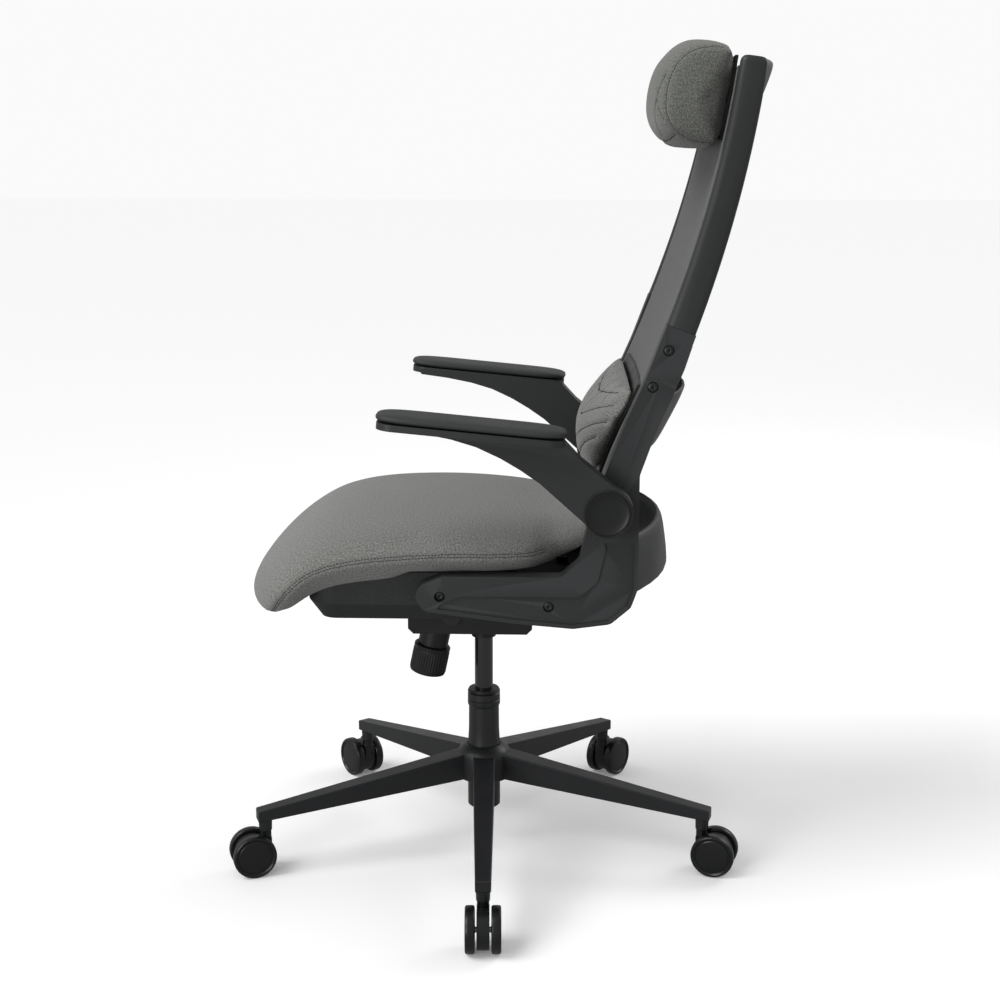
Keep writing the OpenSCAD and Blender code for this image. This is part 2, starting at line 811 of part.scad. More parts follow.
module seat_cushion() color(fabric) {
    core_w = shell_w - 2 * boss_l - 2 * soft_gap;
    core_l = shell_l - 2 * shell_wall - 2 * soft_gap;
    core_z = shell_z + boss_l + soft_gap;
    lip_w = cushion_w - 90;
    lip_back = shell_front - soft_gap;
    hull() {
        translate([0, 0, cushion_z])
            linear_extrude(height = 24)
                cushion_plan(0);
        translate([0, 0, cushion_z + cushion_h - 28])
            linear_extrude(height = 1)
                cushion_plan(26);
        translate([0, 0, cushion_z + cushion_h - 8])
            linear_extrude(height = 1)
                cushion_plan(90);
    }
    translate([0, (shell_front + shell_back) / 2, core_z])
        tray(core_w, core_l, cushion_z - core_z + over, shell_corner, shell_draft);
    hull() {
        translate([-lip_w / 2, cushion_front + 24, shell_z + 3])
            rotate([0, 90, 0])
                cylinder(r = 16, h = lip_w, $fn = hull_fn);
        translate([-cushion_w / 2 + 14, cushion_front + 22, cushion_z - 34])
            cube([cushion_w - 28, lip_back - cushion_front - 22, 35]);
        translate([-cushion_w / 2 + 24, cushion_front + 5, cushion_z - 8])
            cube([cushion_w - 48, 40, 9]);
    }
    for (side = ARM_SIDES)
        on_side(side)
            hull() {
                translate([shell_w / 2 + soft_gap, lip_back - 2, cushion_z - 34])
                    cube([cushion_w / 2 - 8 - shell_w / 2 - soft_gap, 2, 35]);
                translate([shell_w / 2 + soft_gap, lip_back + 116, cushion_z - 1])
                    cube([cushion_w / 2 - 4 - shell_w / 2 - soft_gap, 2, 2]);
            }
}

// ---- Side brackets and back frame ----

// Cross-section of a part of the back frame at height z, square to the back's centre line
function frame_ring(z, half_t, half_d, x) =
    let (a = back_angle(z))
    [for (p = squircle(half_t, half_d)) [x + p[0], back_y(z) + p[1] * cos(a), z - p[1] * sin(a)]];

module frame_tongue(gap, extra) {
    steps = 5;
    low = seam_z - tongue_l - gap;
    high = seam_z + extra;
    loft([
        for (i = [0:steps])
            frame_ring(low + (high - low) * i / steps, tongue[0] + gap, tongue[1] + gap, frame_x)
    ]);
}

module bracket_outline() {
    fillet = 17;
    half = frame_depth / 2;
    nose_y = -86;
    top_z = rim_z + 2;
    arm_low_z = pivot_z + 120;
    arm_steps = 3;
    seam_a = back_angle(seam_z);
    arm_z = [for (i = [0:arm_steps]) arm_low_z + (seam_z - 40 - arm_low_z) * i / arm_steps];
    square_z = seam_z - 60;
    polygon(concat(
        [[back_y(square_z) - half, square_z]],
        [[back_y(seam_z) - half * cos(seam_a), seam_z + half * sin(seam_a)]],
        [[back_y(seam_z) + half * cos(seam_a), seam_z - half * sin(seam_a)]],
        [[back_y(square_z) + half, square_z - 12]]
    ));
    offset(r = -fillet, $fn = 48)
        offset(r = fillet, $fn = 48)
            union() {
                offset(r = fillet, $fn = 48)
                    offset(delta = -fillet)
                        polygon(concat(
                            [[nose_y + 14, shell_z + 24], [nose_y, shell_z + 44], [nose_y + 10, shell_z + 62], [nose_y + 40, top_z]],
                            [[pivot_y - 62, top_z], [pivot_y - 38, top_z + 22], [pivot_y - 27, pivot_z - 30], [pivot_y - 6, pivot_z + 40]],
                            [for (z = arm_z) [back_y(z) - half, z]],
                            [[back_y(seam_z) - half * cos(seam_a), seam_z + half * sin(seam_a)]],
                            [[back_y(seam_z) + half * cos(seam_a), seam_z - half * sin(seam_a)]],
                            [for (i = [arm_steps:-1:0]) [back_y(arm_z[i]) + half, arm_z[i] - 12]],
                            [[pivot_y + 43, pivot_z + 44], [pivot_y + 43, shell_z + 58], [pivot_y + 34, shell_z + 32]],
                            [[pivot_y + 6, shell_z + 8], [pivot_y - 45, shell_z + 1], [50, shell_z + 8]]
                        ));
                translate([pivot_y, pivot_z])
                    circle(d = arm_hub_d + 6);
            }
}

// The flat part of the bracket's outer face lies below and behind a raised band
module bracket_recess()
    intersection() {
        offset(delta = -6)
            bracket_outline();
        translate([26, -28])
            bracket_outline();
        translate([-200, shell_z - 20])
            square([420, pivot_z - shell_z - 30]);
    }

module side_bracket(side) color(plastic) on_side(side) difference() {
    side_extrude(bracket_inner_x, frame_t)
        bracket_outline();
    side_extrude(bracket_outer_x - pocket_depth, pocket_depth + over)
        bracket_recess();
    frame_tongue(seat_gap, 20);
    along_x(bracket_inner_x - over, pivot_y, pivot_z, pivot_d + 2 * run_gap, frame_t + 2 * over);
    for (p = bracket_screws) {
        along_x(bracket_inner_x - over, p[0], p[1], screw_d + 2 * run_gap, frame_t + 2 * over);
        along_x(bracket_outer_x - screw_sink, p[0], p[1], screw_head_d + 2, frame_t);
    }
    for (z = upright_screws) {
        along_x(frame_x, back_y(z) - 6, z, screw_d + 2 * run_gap, frame_t);
        along_x(bracket_outer_x - screw_head_h, back_y(z) - 6, z, screw_head_d + 2, frame_t);
    }
}

module back_upright(side) color(plastic) on_side(side) {
    steps = 16;
    round_steps = 3;
    bottom = seam_z + seat_gap;
    tip = 8;
    half_t = frame_t / 2;
    half_d = frame_depth / 2;
    difference() {
        union() {
            loft(concat(
                [for (i = [0:steps - 1])
                    let (t = i / steps, z = bottom + (upright_top_z - tip - bottom) * t)
                    frame_ring(z, half_t - 2 * t, half_d - 2.5 * t, upright_x(z))],
                [for (i = [0:round_steps])
                    let (a = 90 * i / round_steps, z = upright_top_z - tip + tip * sin(a), shrink = 0.55 + 0.45 * cos(a))
                    frame_ring(z, (half_t - 2) * shrink, (half_d - 2.5) * shrink, upright_x(z))]
            ));
            frame_tongue(0, 6);
        }
        for (z = upright_screws)
            along_x(frame_x - frame_t, back_y(z) - 6, z, screw_d + 2 * run_gap, 2 * frame_t);
    }
}

module frame_screws() color(black_steel) {
    for (p = plate_screws)
        translate([p[0], p[1], shell_z - seat_gap - plate_t])
            screw(plate_screw_l);
    for (side = ARM_SIDES)
        on_side(side) {
            for (p = bracket_screws)
                translate([bracket_outer_x - screw_sink, p[0], p[1]])
                    rotate([0, -90, 0])
                        screw(bracket_screw_l);
            for (z = upright_screws)
                translate([bracket_outer_x - screw_head_h, back_y(z) - 6, z])
                    rotate([0, -90, 0])
                        screw(upright_screw_l);
        }
}

// Blade that crosses the chair and bows to the rear; its ends meet half_w, which may change with height
module cross_rail(z, h, t, lean, end_y, mid_y, tilt_w) color(plastic) {
    steps = 12;
    loft([
        for (i = [0:steps])
            let (s = -1 + 2 * i / steps)
            [for (p = squircle(h / 2, t / 2, 3))
                let (pz = z + p[0] * cos(lean) - p[1] * sin(lean))
                [
                    s * (tilt_w ? upright_x(pz) - frame_t / 2 : bracket_inner_x - seat_gap),
                    end_y + (mid_y - end_y) * (1 - s * s) + p[0] * sin(lean) + p[1] * cos(lean),
                    pz
                ]]
    ]);
}

module top_rail()
    cross_rail(upright_top_z - 28, 58, 12, 20, back_y(upright_top_z - 28), back_y(upright_top_z - 28) + 36, true);

module lumbar_rail()
    cross_rail(lumbar_z - 99, 96, 10, 27, back_y(lumbar_z - 99) + 2, back_y(lumbar_z - 99) + 60, false);

module lower_rail()
    cross_rail(shell_z + 79, 80, 14, -8, pivot_y + 22, pivot_y + 87, false);

// ---- Fabric and pads ----

// A point on or behind the panel's front face: u and v run from 0 to 1 up and across
function panel_spot(u, v, low_z, high_z, half_w, depth) =
    let (z = low_z + (high_z - low_z) * u, x = half_w * (2 * v - 1))
    [x, panel_y(x, z) + depth, z];

module back_panel() color(fabric_dark) {
    rows = 18;
    cols = 12;
    top_z = upright_top_z - 10;
    faces = [
        for (depth = [0, panel_t])
            [for (i = [0:rows])
                let (half_w = panel_half_w(panel_bottom_z + (top_z - panel_bottom_z) * i / rows))
                [for (j = [0:cols]) panel_spot(i / rows, j / cols, panel_bottom_z, top_z, half_w, depth)]]
    ];
    between(faces[0], faces[1]);
}

// Half width of the lumbar pad at height t, from 0 at its foot to 1 at its top
function lumbar_half_w(t) = lumbar_w / 2 * (0.72 + 0.28 * sin(90 * min(1, t * 1.3)));

// How far the lumbar pad swells, from 0 at its rim to 1 in its middle
function lumbar_dome(t, s) = pow(max(0, 1 - pow(abs(s), 3)), 0.6) * pow(max(0, sin(180 * t)), 0.6);

module lumbar_layer(front_depth, back_depth, bulge, grow) {
    rows = 10;
    cols = 14;
    foot = lumbar_z - 176 - grow;
    top = foot + lumbar_h + 2 * grow;
    faces = [
        for (layer = [[front_depth, bulge], [back_depth, 0]])
            [for (i = [0:rows])
                [for (j = [0:cols])
                    let (t = i / rows, depth = layer[0] + layer[1] * lumbar_dome(t, 2 * j / cols - 1))
                    panel_spot(t, j / cols, foot, top, lumbar_half_w(t) + grow, -depth)]]
    ];
    between(faces[0], faces[1]);
}

module lumbar_carrier() color(plastic_dark)
    lumbar_layer(carrier_t + seat_gap, seat_gap, 0, 5);

module lumbar_pad() color(fabric)
    lumbar_layer(carrier_t + soft_gap + 5, carrier_t + soft_gap, lumbar_depth - 5, 0);

headrest_z = upright_top_z - headrest_h / 2 + headrest_rise;

module headrest_plate() color(plastic_dark) {
    rows = 4;
    cols = 10;
    low_z = headrest_z - headrest_h * 0.36;
    high_z = headrest_z + headrest_h * 0.36;
    faces = [
        for (depth = [carrier_t + seat_gap, seat_gap])
            [for (i = [0:rows]) [for (j = [0:cols]) panel_spot(i / rows, j / cols, low_z, high_z, headrest_w * 0.42, -depth)]]
    ];
    between(faces[0], faces[1]);
}

module headrest_pad() color(fabric) {
    steps = 14;
    arc_steps = 12;
    lean = back_angle(headrest_z);
    base_y = back_y(headrest_z) - panel_inset - carrier_t - soft_gap;
    loft([
        for (i = [0:steps])
            let (s = -1 + 2 * i / steps, shrink = 1 - 0.2 * pow(abs(s), 6))
            [for (j = [0:arc_steps])
                let (
                    a = 180 * j / arc_steps,
                    up = headrest_h / 2 * shrink * -sign(cos(a)) * pow(abs(cos(a)), 0.75),
                    out = headrest_depth * shrink * pow(sin(a), 0.75)
                )
                [s * headrest_w / 2, base_y + up * sin(lean) - out * cos(lean), headrest_z + up * cos(lean) + out * sin(lean)]]
    ]);
}

// ---- Arms ----

module arm_pins() color(steel)
    for (side = ARM_SIDES)
        on_side(side)
            along_x(bracket_inner_x + 2, pivot_y, pivot_z, pivot_d, arm_outer_x - bracket_inner_x - 4);

// Side outline of the arm's neck, measured from the pivot
module neck_outline()
    offset(r = 3, $fn = 24)
        offset(delta = -3)
            polygon([
                [pad_front_y + 14, pad_seat_z - 4], [pad_front_y + 16, 113], [-249, 107], [-209, 99], [-176, 89], [-144, 74],
                [-117, 58], [-91, 40], [-31, -14], [0, -arm_hub_d / 2 + 6], [18, 27], [-12, 51], [-38, 72], [-60, 96], [-62, 101]
            ]);

module pad_frame()
    translate([pad_x, pivot_y + pad_front_y, pivot_z + pad_seat_z])
        rotate([pad_slope, 0, 0])
            translate([0, pad_l / 2, 0])
                children();

module arm(side) color(plastic) on_side(side) difference() {
    union() {
        translate([0, pivot_y, pivot_z])
            side_extrude(arm_inner_x, arm_neck_w)
                neck_outline();
        along_x(arm_inner_x, pivot_y, pivot_z, arm_hub_d, arm_neck_w);
        along_x(bracket_outer_x + 1, pivot_y, pivot_z, pivot_d + 24, arm_inner_x - bracket_outer_x);
        pad_frame()
            translate([0, 0, -9])
                slab(pad_w - 4, pad_l - 4, 9, 22);
    }
    along_x(bracket_outer_x, pivot_y, pivot_z, pivot_d + 2 * run_gap, arm_outer_x - bracket_outer_x - 1.5);
}

module arm_cap(side) color(plastic_dark) on_side(side) {
    along_x(arm_outer_x + 0.1, pivot_y, pivot_z, arm_hub_d - 3, cap_t - 1.5);
    translate([arm_outer_x + cap_t - 1.4, pivot_y, pivot_z])
        rotate([0, 90, 0])
            cylinder(d1 = arm_hub_d - 3, d2 = arm_hub_d - 7, h = 1.5);
}

module arm_pad(side) color(plastic_dark) on_side(side) pad_frame()
    translate([0, 0, seat_gap])
        hull() {
            linear_extrude(height = pad_t * 0.5)
                offset(r = 24, $fn = 48)
                    square([pad_w - 48, pad_l - 48], center = true);
            linear_extrude(height = pad_t * 0.85)
                offset(r = 22, $fn = 48)
                    square([pad_w - 50, pad_l - 50], center = true);
            linear_extrude(height = pad_t)
                offset(r = 14, $fn = 48)
                    square([pad_w - 46, pad_l - 46], center = true);
        }

star_base();
caster_stems();
column_tube();
column_bush();
rod_bearing();
piston_rod();
rod_clip();
gas_cylinder();
gas_button();
tilt_housing();
tilt_pin();
tilt_springs();
tension_knob();
tension_bolt();
tension_nut();
lever_sleeve();
height_lever();
seat_plate();
seat_shell();
seat_cushion();
frame_screws();
arm_pins();
top_rail();
lumbar_rail();
lower_rail();
back_panel();
lumbar_carrier();
lumbar_pad();
headrest_plate();
headrest_pad();
for (side = ARM_SIDES) {
    side_bracket(side);
    back_upright(side);
    arm(side);
    arm_pad(side);
    arm_cap(side);
}
for (k = CASTERS) {
    caster_hood(k);
    caster_axle(k);
    caster_wheel(k, 1);
    caster_wheel(k, -1);
}
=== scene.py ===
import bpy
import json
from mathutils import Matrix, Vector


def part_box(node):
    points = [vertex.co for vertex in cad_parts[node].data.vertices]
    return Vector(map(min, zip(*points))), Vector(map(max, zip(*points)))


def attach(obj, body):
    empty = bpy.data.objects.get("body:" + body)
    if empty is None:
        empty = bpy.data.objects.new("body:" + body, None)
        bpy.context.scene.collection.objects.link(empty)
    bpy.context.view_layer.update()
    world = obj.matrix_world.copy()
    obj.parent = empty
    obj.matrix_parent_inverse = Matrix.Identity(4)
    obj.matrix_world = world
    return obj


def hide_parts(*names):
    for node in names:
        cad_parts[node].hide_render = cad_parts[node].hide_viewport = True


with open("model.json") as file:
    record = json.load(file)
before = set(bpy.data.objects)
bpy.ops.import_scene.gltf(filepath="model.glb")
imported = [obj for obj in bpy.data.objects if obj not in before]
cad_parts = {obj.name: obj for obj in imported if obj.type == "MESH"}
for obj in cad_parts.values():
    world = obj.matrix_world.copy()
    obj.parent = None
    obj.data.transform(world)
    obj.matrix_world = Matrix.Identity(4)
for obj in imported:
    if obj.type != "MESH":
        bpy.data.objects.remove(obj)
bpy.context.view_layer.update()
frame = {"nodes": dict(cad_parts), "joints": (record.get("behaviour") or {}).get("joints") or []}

import json
import math

import bmesh
import bpy
from bpy.props import FloatProperty, FloatVectorProperty, IntProperty, PointerProperty
from mathutils import Matrix, Vector
from mathutils.bvhtree import BVHTree
from mathutils.kdtree import KDTree

bl_info = {
    "name": "High-back chair looks",
    "version": (1, 0, 0),
    "blender": (4, 5, 0),
    "location": "3D View > Sidebar > Chair",
    "description": "Upholstery, mouldings and metalwork of a high-back chair on its packed frame",
    "category": "Object",
}

MM = 0.001
TAU = math.tau
WELD = 0.02 * MM       # corners closer than this are one corner
WEAVE = "weave"        # UV map in metres that the cloth's threads follow
SIDES = {"left": 1, "right": -1}
CASTERS = range(1, 6)
BRACKET_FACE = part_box("side_bracket_left")[1].x
# Screws of a side: (y, z) and how far the rim of the head lies under the bracket's outer face
SCREWS = [
    ((257.4 * MM, 806 * MM), 1.3 * MM), ((237.3 * MM, 757 * MM), 1.3 * MM),
    ((-50 * MM, 465 * MM), 5.5 * MM), ((100 * MM, 451 * MM), 5.5 * MM),
]


def linear(hex_colour):
    """The linear colour of an sRGB hex value such as "7b7c7a"."""
    parts = [int(hex_colour[i:i + 2], 16) / 255 for i in (0, 2, 4)]
    return tuple(c / 12.92 if c <= 0.04045 else ((c + 0.055) / 1.055) ** 2.4 for c in parts)


def colour(name, description, hex_colour):
    """A colour property whose default is an sRGB hex value."""
    return FloatVectorProperty(
        name=name, description=description, subtype="COLOR", min=0, max=1, default=linear(hex_colour)
    )


def length(name, description, default):
    """A length property in metres."""
    return FloatProperty(name=name, description=description, unit="LENGTH", min=0, default=default)


# ---- Settings ----


class ClothSettings(bpy.types.PropertyGroup):
    """Woven covers and the foam under them"""
    seat_yarn: colour("Seat yarn", "Light yarn of the seat and lumbar cloth", "9a9b97")
    seat_fleck: colour("Seat fleck", "Dark yarn of the seat and lumbar cloth", "5a5b58")
    headrest_yarn: colour("Headrest yarn", "Light yarn of the headrest cloth", "8a8c86")
    headrest_fleck: colour("Headrest fleck", "Dark yarn of the headrest cloth", "4c4e49")
    back_yarn: colour("Back yarn", "Light yarn of the stretched back cloth", "626361")
    back_fleck: colour("Back fleck", "Dark yarn of the stretched back cloth", "393a39")
    thread_spacing: length("Thread spacing", "Distance between neighbouring threads as drawn", 1.5 * MM)
    voxel: length("Foam grid", "Size of the even grid that a pad is laid out on", 5.5 * MM)
    pressure: FloatProperty(name="Pressure", description="How hard the foam pushes out its cover", default=4)
    frames: IntProperty(name="Steps", description="Frames that a cover takes to settle", default=20, min=2)


class StitchSettings(bpy.types.PropertyGroup):
    """Sewn lines"""
    stitch: length("Stitch", "Length of one stitch", 3.6 * MM)
    pitch: length("Pitch", "Distance from one stitch to the next", 4.4 * MM)
    thread: length("Thread", "Thickness of the thread", 1.2 * MM)
    thread_colour: colour("Thread colour", "Sewing thread", "1b1c1b")


class MouldingSettings(bpy.types.PropertyGroup):
    """Plastic mouldings"""
    base_colour: colour("Base", "Glass-filled nylon of the star base", "17181a")
    frame_colour: colour("Frame", "Nylon of the brackets, uprights, rails and arms", "292a2b")
    shell_colour: colour("Shell", "Grained polypropylene under the seat", "242526")
    trim_colour: colour("Trim", "Polypropylene of the knob, lever, housing and carriers", "111213")
    caster_colour: colour("Casters", "Nylon of the wheels and hoods", "0f1011")
    armrest_colour: colour("Arm pads", "Integral-skin polyurethane", "303132")
    edge: length("Edge", "Radius left on a moulded edge", 1.6 * MM)


class MetalSettings(bpy.types.PropertyGroup):
    """Steel parts"""
    zinc_colour: colour("Zinc", "Zinc plating", "b4b7ba")
    coat_colour: colour("Powder coat", "Black powder coat", "18191a")
    cylinder_colour: colour("Cylinder", "Gloss lacquer of the gas cylinder", "141516")


class StageSettings(bpy.types.PropertyGroup):
    """Camera, light and floor"""
    camera_place: FloatVectorProperty(
        name="Camera", description="Where the camera stands", subtype="XYZ", unit="LENGTH",
        default=(2.430, 0.1104, 1.0757),
    )
    camera_turn: FloatProperty(
        name="Turn", description="How far the view is turned from square-on", subtype="ANGLE",
        default=0.0352,
    )
    camera_drop: FloatProperty(
        name="Drop", description="How far the view looks down", subtype="ANGLE", default=math.radians(12.204)
    )
    lens: FloatProperty(name="Lens", description="Focal length in millimetres", default=59.49, min=10)
    floor_colour: colour("Floor", "Pale floor and backdrop", "fafafa")
    sky: FloatProperty(name="Sky", description="Strength of the light from all round", default=0.5, min=0)
    sun: FloatProperty(name="Key", description="Strength of the soft light from above the front", default=1.7, min=0)
    light_power: FloatProperty(name="Boxes", description="Power of each soft box in watts", default=26, min=0)


GROUPS = {
    "chair_cloth": ClothSettings,
    "chair_stitch": StitchSettings,
    "chair_moulding": MouldingSettings,
    "chair_metal": MetalSettings,
    "chair_stage": StageSettings,
}


def settings(group):
    """The scene's values of one group of settings."""
    return getattr(bpy.context.scene, group)


# ---- Materials ----


def add(tree, kind, inputs=None, **values):
    """A node with its settings; each input is set to a value, or linked where it is given an output."""
    node = tree.nodes.new(kind)
    for key, value in values.items():
        setattr(node, key, value)
    for socket, value in (inputs or {}).items():
        if isinstance(value, bpy.types.NodeSocket):
            tree.links.new(value, node.inputs[socket])
        else:
            node.inputs[socket].default_value = value
    return node


def begin(name):
    """A new material with only its output, as (material, tree), or (material, None) once it is made."""
    found = bpy.data.materials.get(name)
    if found:
        return found, None
    made = bpy.data.materials.new(name)
    made.use_nodes = True
    made.node_tree.nodes.clear()
    return made, made.node_tree


def close(tree, shader):
    """Joins a shader to the material's output."""
    add(tree, "ShaderNodeOutputMaterial", {"Surface": shader.outputs[0]})


def rgba(value):
    """A colour setting with full alpha."""
    return (*value, 1)


def band(value, low, high, to_low, to_high, tree):
    """A value stretched from one range to another."""
    inputs = {"Value": value, "From Min": low, "From Max": high, "To Min": to_low, "To Max": to_high}
    return add(tree, "ShaderNodeMapRange", inputs).outputs[0]


def mix(tree, factor, first, second, blend="MIX"):
    """Two colours mixed by a factor."""
    sockets = {0: factor, 6: first, 7: second}
    return add(tree, "ShaderNodeMix", sockets, data_type="RGBA", blend_type=blend).outputs[2]


def woven(name, yarn, fleck, streak):
    """Plain-woven polyester in heather yarn, with its flecks drawn out by streak (across, along)."""
    # Two greys of yarn twisted together give flecks one to three millimetres long.
    # It is fully matte, and its loose fibre catches a little light at grazing angles.
    made, tree = begin(name)
    if tree is None:
        return made
    spacing = settings("chair_cloth").thread_spacing
    fleck_size = 2.1 * MM
    patch_size = 26 * MM
    place = add(tree, "ShaderNodeUVMap", uv_map=WEAVE).outputs[0]
    drawn = add(tree, "ShaderNodeMapping", {"Vector": place, "Scale": (*streak, 1)}).outputs[0]
    flecks = add(
        tree, "ShaderNodeTexNoise",
        {"Vector": drawn, "Scale": 1 / fleck_size, "Detail": 2.5, "Roughness": 0.75},
    ).outputs[0]
    body = add(tree, "ShaderNodeTexCoord").outputs["Object"]
    patches = add(tree, "ShaderNodeTexNoise", {"Vector": body, "Scale": 1 / patch_size, "Detail": 3}).outputs[0]
    # A wave texture repeats every 0.314 of its scaled length
    wave_scale = 0.31416 / spacing
    warp, weft = (
        add(tree, "ShaderNodeTexWave", {"Vector": place, "Scale": wave_scale}, bands_direction=way).outputs[1]
        for way in "XY"
    )
    weave = add(tree, "ShaderNodeMath", {0: warp, 1: weft}, operation="MULTIPLY").outputs[0]
    heather = mix(tree, band(flecks, 0.36, 0.66, 0, 1, tree), rgba(fleck), rgba(yarn))
    worn = mix(tree, band(patches, 0.3, 0.7, 0, 0.22, tree), heather, rgba([c * 0.72 for c in yarn]))
    # The weave darkens the colour at its low places between threads: painted shade in the gaps of the weave
    shade = mix(tree, 0.32, worn, band(weave, 0, 1, 0.35, 1, tree), "MULTIPLY")
    height = add(tree, "ShaderNodeMath", {0: weave, 1: flecks}, operation="ADD").outputs[0]
    bump = add(tree, "ShaderNodeBump", {"Height": height, "Strength": 0.7, "Distance": 0.35 * MM}).outputs[0]
    shader = add(tree, "ShaderNodeBsdfPrincipled", {
        "Base Color": shade, "Roughness": 0.93, "Normal": bump, "Specular IOR Level": 0.25,
        "Sheen Weight": 0.25, "Sheen Roughness": 0.5,
    })
    close(tree, shader)
    return made


def seat_cloth():
    cloth = settings("chair_cloth")
    return woven("heather_polyester_seat", cloth.seat_yarn, cloth.seat_fleck, (0.8, 1.0))


def headrest_cloth():
    cloth = settings("chair_cloth")
    return woven("heather_polyester_headrest", cloth.headrest_yarn, cloth.headrest_fleck, (1.0, 0.7))


def back_cloth():
    cloth = settings("chair_cloth")
    return woven("heather_polyester_back", cloth.back_yarn, cloth.back_fleck, (1.2, 0.35))


def sewing_thread():
    """Bonded polyester thread: smooth, slightly shiny strands"""
    made, tree = begin("bonded_sewing_thread")
    if tree is None:
        return made
    twist = 0.8 * MM
    body = add(tree, "ShaderNodeTexCoord").outputs["Object"]
    strands = add(tree, "ShaderNodeTexNoise", {"Vector": body, "Scale": 1 / twist, "Detail": 1}).outputs[0]
    tone = settings("chair_stitch").thread_colour
    tint = mix(tree, strands, rgba([c * 0.7 for c in tone]), rgba([c * 1.4 for c in tone]))
    close(tree, add(tree, "ShaderNodeBsdfPrincipled", {"Base Color": tint, "Roughness": 0.55}))
    return made


def moulded(name, tone, roughness, grain, depth, shine=0.4):
    """A plastic moulding: even colour, with the tool's grain as fine bumps, slight changes of gloss and a painted
    highlight along outward edges.
    """
    made, tree = begin(name)
    if tree is None:
        return made
    flow = 60 * MM          # patches of slightly different gloss where the melt cooled
    body = add(tree, "ShaderNodeTexCoord").outputs["Object"]
    grit = add(
        tree, "ShaderNodeTexNoise", {"Vector": body, "Scale": 1 / grain, "Detail": 3, "Roughness": 0.65}
    ).outputs[0]
    patches = add(tree, "ShaderNodeTexNoise", {"Vector": body, "Scale": 1 / flow, "Detail": 4}).outputs[0]
    dark, light = rgba([c * 0.8 for c in tone]), rgba([c * 1.2 for c in tone])
    tint = mix(tree, band(grit, 0.35, 0.65, 0, 1, tree), dark, light)
    gloss = band(patches, 0.3, 0.7, roughness - 0.05, roughness + 0.06, tree)
    # Pointiness is above a half on outward edges, which are lightened there as a painted highlight where moulded
    # edges catch light
    edge = band(add(tree, "ShaderNodeNewGeometry").outputs["Pointiness"], 0.52, 0.6, 0, 0.35, tree)
    painted_edge_highlight = mix(tree, edge, tint, rgba([min(1, c * 2.2 + 0.01) for c in tone]))
    bump = add(tree, "ShaderNodeBump", {"Height": grit, "Strength": 0.6, "Distance": depth}).outputs[0]
    shader = add(tree, "ShaderNodeBsdfPrincipled", {
        "Base Color": painted_edge_highlight, "Roughness": gloss, "Normal": bump, "Specular IOR Level": shine,
    })
    close(tree, shader)
    return made


def glass_filled_nylon():
    # Injection-moulded nylon with glass fibre: satin black with a faint sparkle of fibre at the skin
    return moulded("glass_filled_nylon", settings("chair_moulding").base_colour, 0.40, 0.9 * MM, 0.05 * MM)


def textured_nylon():
    # Nylon from a spark-eroded tool: charcoal, satin, with a fine even grain that spreads highlights
    return moulded("spark_textured_nylon", settings("chair_moulding").frame_colour, 0.46, 0.8 * MM, 0.06 * MM)


def grained_polypropylene():
    # Polypropylene with a coarse leather-like grain: dull, with a visible mottle
    return moulded("grained_polypropylene", settings("chair_moulding").shell_colour, 0.68, 3.2 * MM, 0.35 * MM)


def satin_polypropylene():
    # Plain polypropylene: near black, satin and slightly waxy
    return moulded("satin_polypropylene", settings("chair_moulding").trim_colour, 0.42, 1.2 * MM, 0.04 * MM)


def caster_nylon():
    # Hard nylon with a polished tool face: near black with tighter highlights
    return moulded("caster_nylon", settings("chair_moulding").caster_colour, 0.30, 1.5 * MM, 0.03 * MM)


def skinned_polyurethane():
    # Foam with an integral skin: soft, matte, with a fine pebble in the skin
    tone = settings("chair_moulding").armrest_colour
    return moulded("integral_skin_polyurethane", tone, 0.55, 1.1 * MM, 0.08 * MM)


def zinc_plated_steel():
    """Turned steel with zinc plating: bright, cold grey, with fine turning marks"""
    made, tree = begin("zinc_plated_steel")
    if tree is None:
        return made
    spangle = 3 * MM
    body = add(tree, "ShaderNodeTexCoord").outputs["Object"]
    marks = add(tree, "ShaderNodeTexNoise", {"Vector": body, "Scale": 1 / spangle, "Detail": 5}).outputs[0]
    close(tree, add(tree, "ShaderNodeBsdfPrincipled", {
        "Base Color": rgba(settings("chair_metal").zinc_colour), "Metallic": 1,
        "Roughness": band(marks, 0.3, 0.7, 0.24, 0.42, tree),
    }))
    return made


def powder_coated_steel():
    """Polyester powder baked on steel: black, satin, with a soft orange-peel ripple"""
    made, tree = begin("powder_coated_steel")
    if tree is None:
        return made
    peel = 1.6 * MM
    body = add(tree, "ShaderNodeTexCoord").outputs["Object"]
    ripple = add(tree, "ShaderNodeTexNoise", {"Vector": body, "Scale": 1 / peel, "Detail": 1}).outputs[0]
    bump = add(tree, "ShaderNodeBump", {"Height": ripple, "Strength": 0.4, "Distance": 0.05 * MM}).outputs[0]
    close(tree, add(tree, "ShaderNodeBsdfPrincipled", {
        "Base Color": rgba(settings("chair_metal").coat_colour), "Normal": bump,
        "Roughness": band(ripple, 0.3, 0.7, 0.34, 0.44, tree),
    }))
    return made


def gloss_lacquered_steel():
    """Ground steel tube under gloss black lacquer: deep black with long sharp highlights"""
    made, tree = begin("gloss_lacquered_steel")
    if tree is None:
        return made
    wipe = 18 * MM
    body = add(tree, "ShaderNodeTexCoord").outputs["Object"]
    film = add(tree, "ShaderNodeTexNoise", {"Vector": body, "Scale": 1 / wipe, "Detail": 3}).outputs[0]
    close(tree, add(tree, "ShaderNodeBsdfPrincipled", {
        "Base Color": rgba(settings("chair_metal").cylinder_colour),
        "Roughness": band(film, 0.3, 0.7, 0.12, 0.2, tree), "Coat Weight": 0.5, "Coat Roughness": 0.08,
    }))
    return made


# ---- Shaping ----


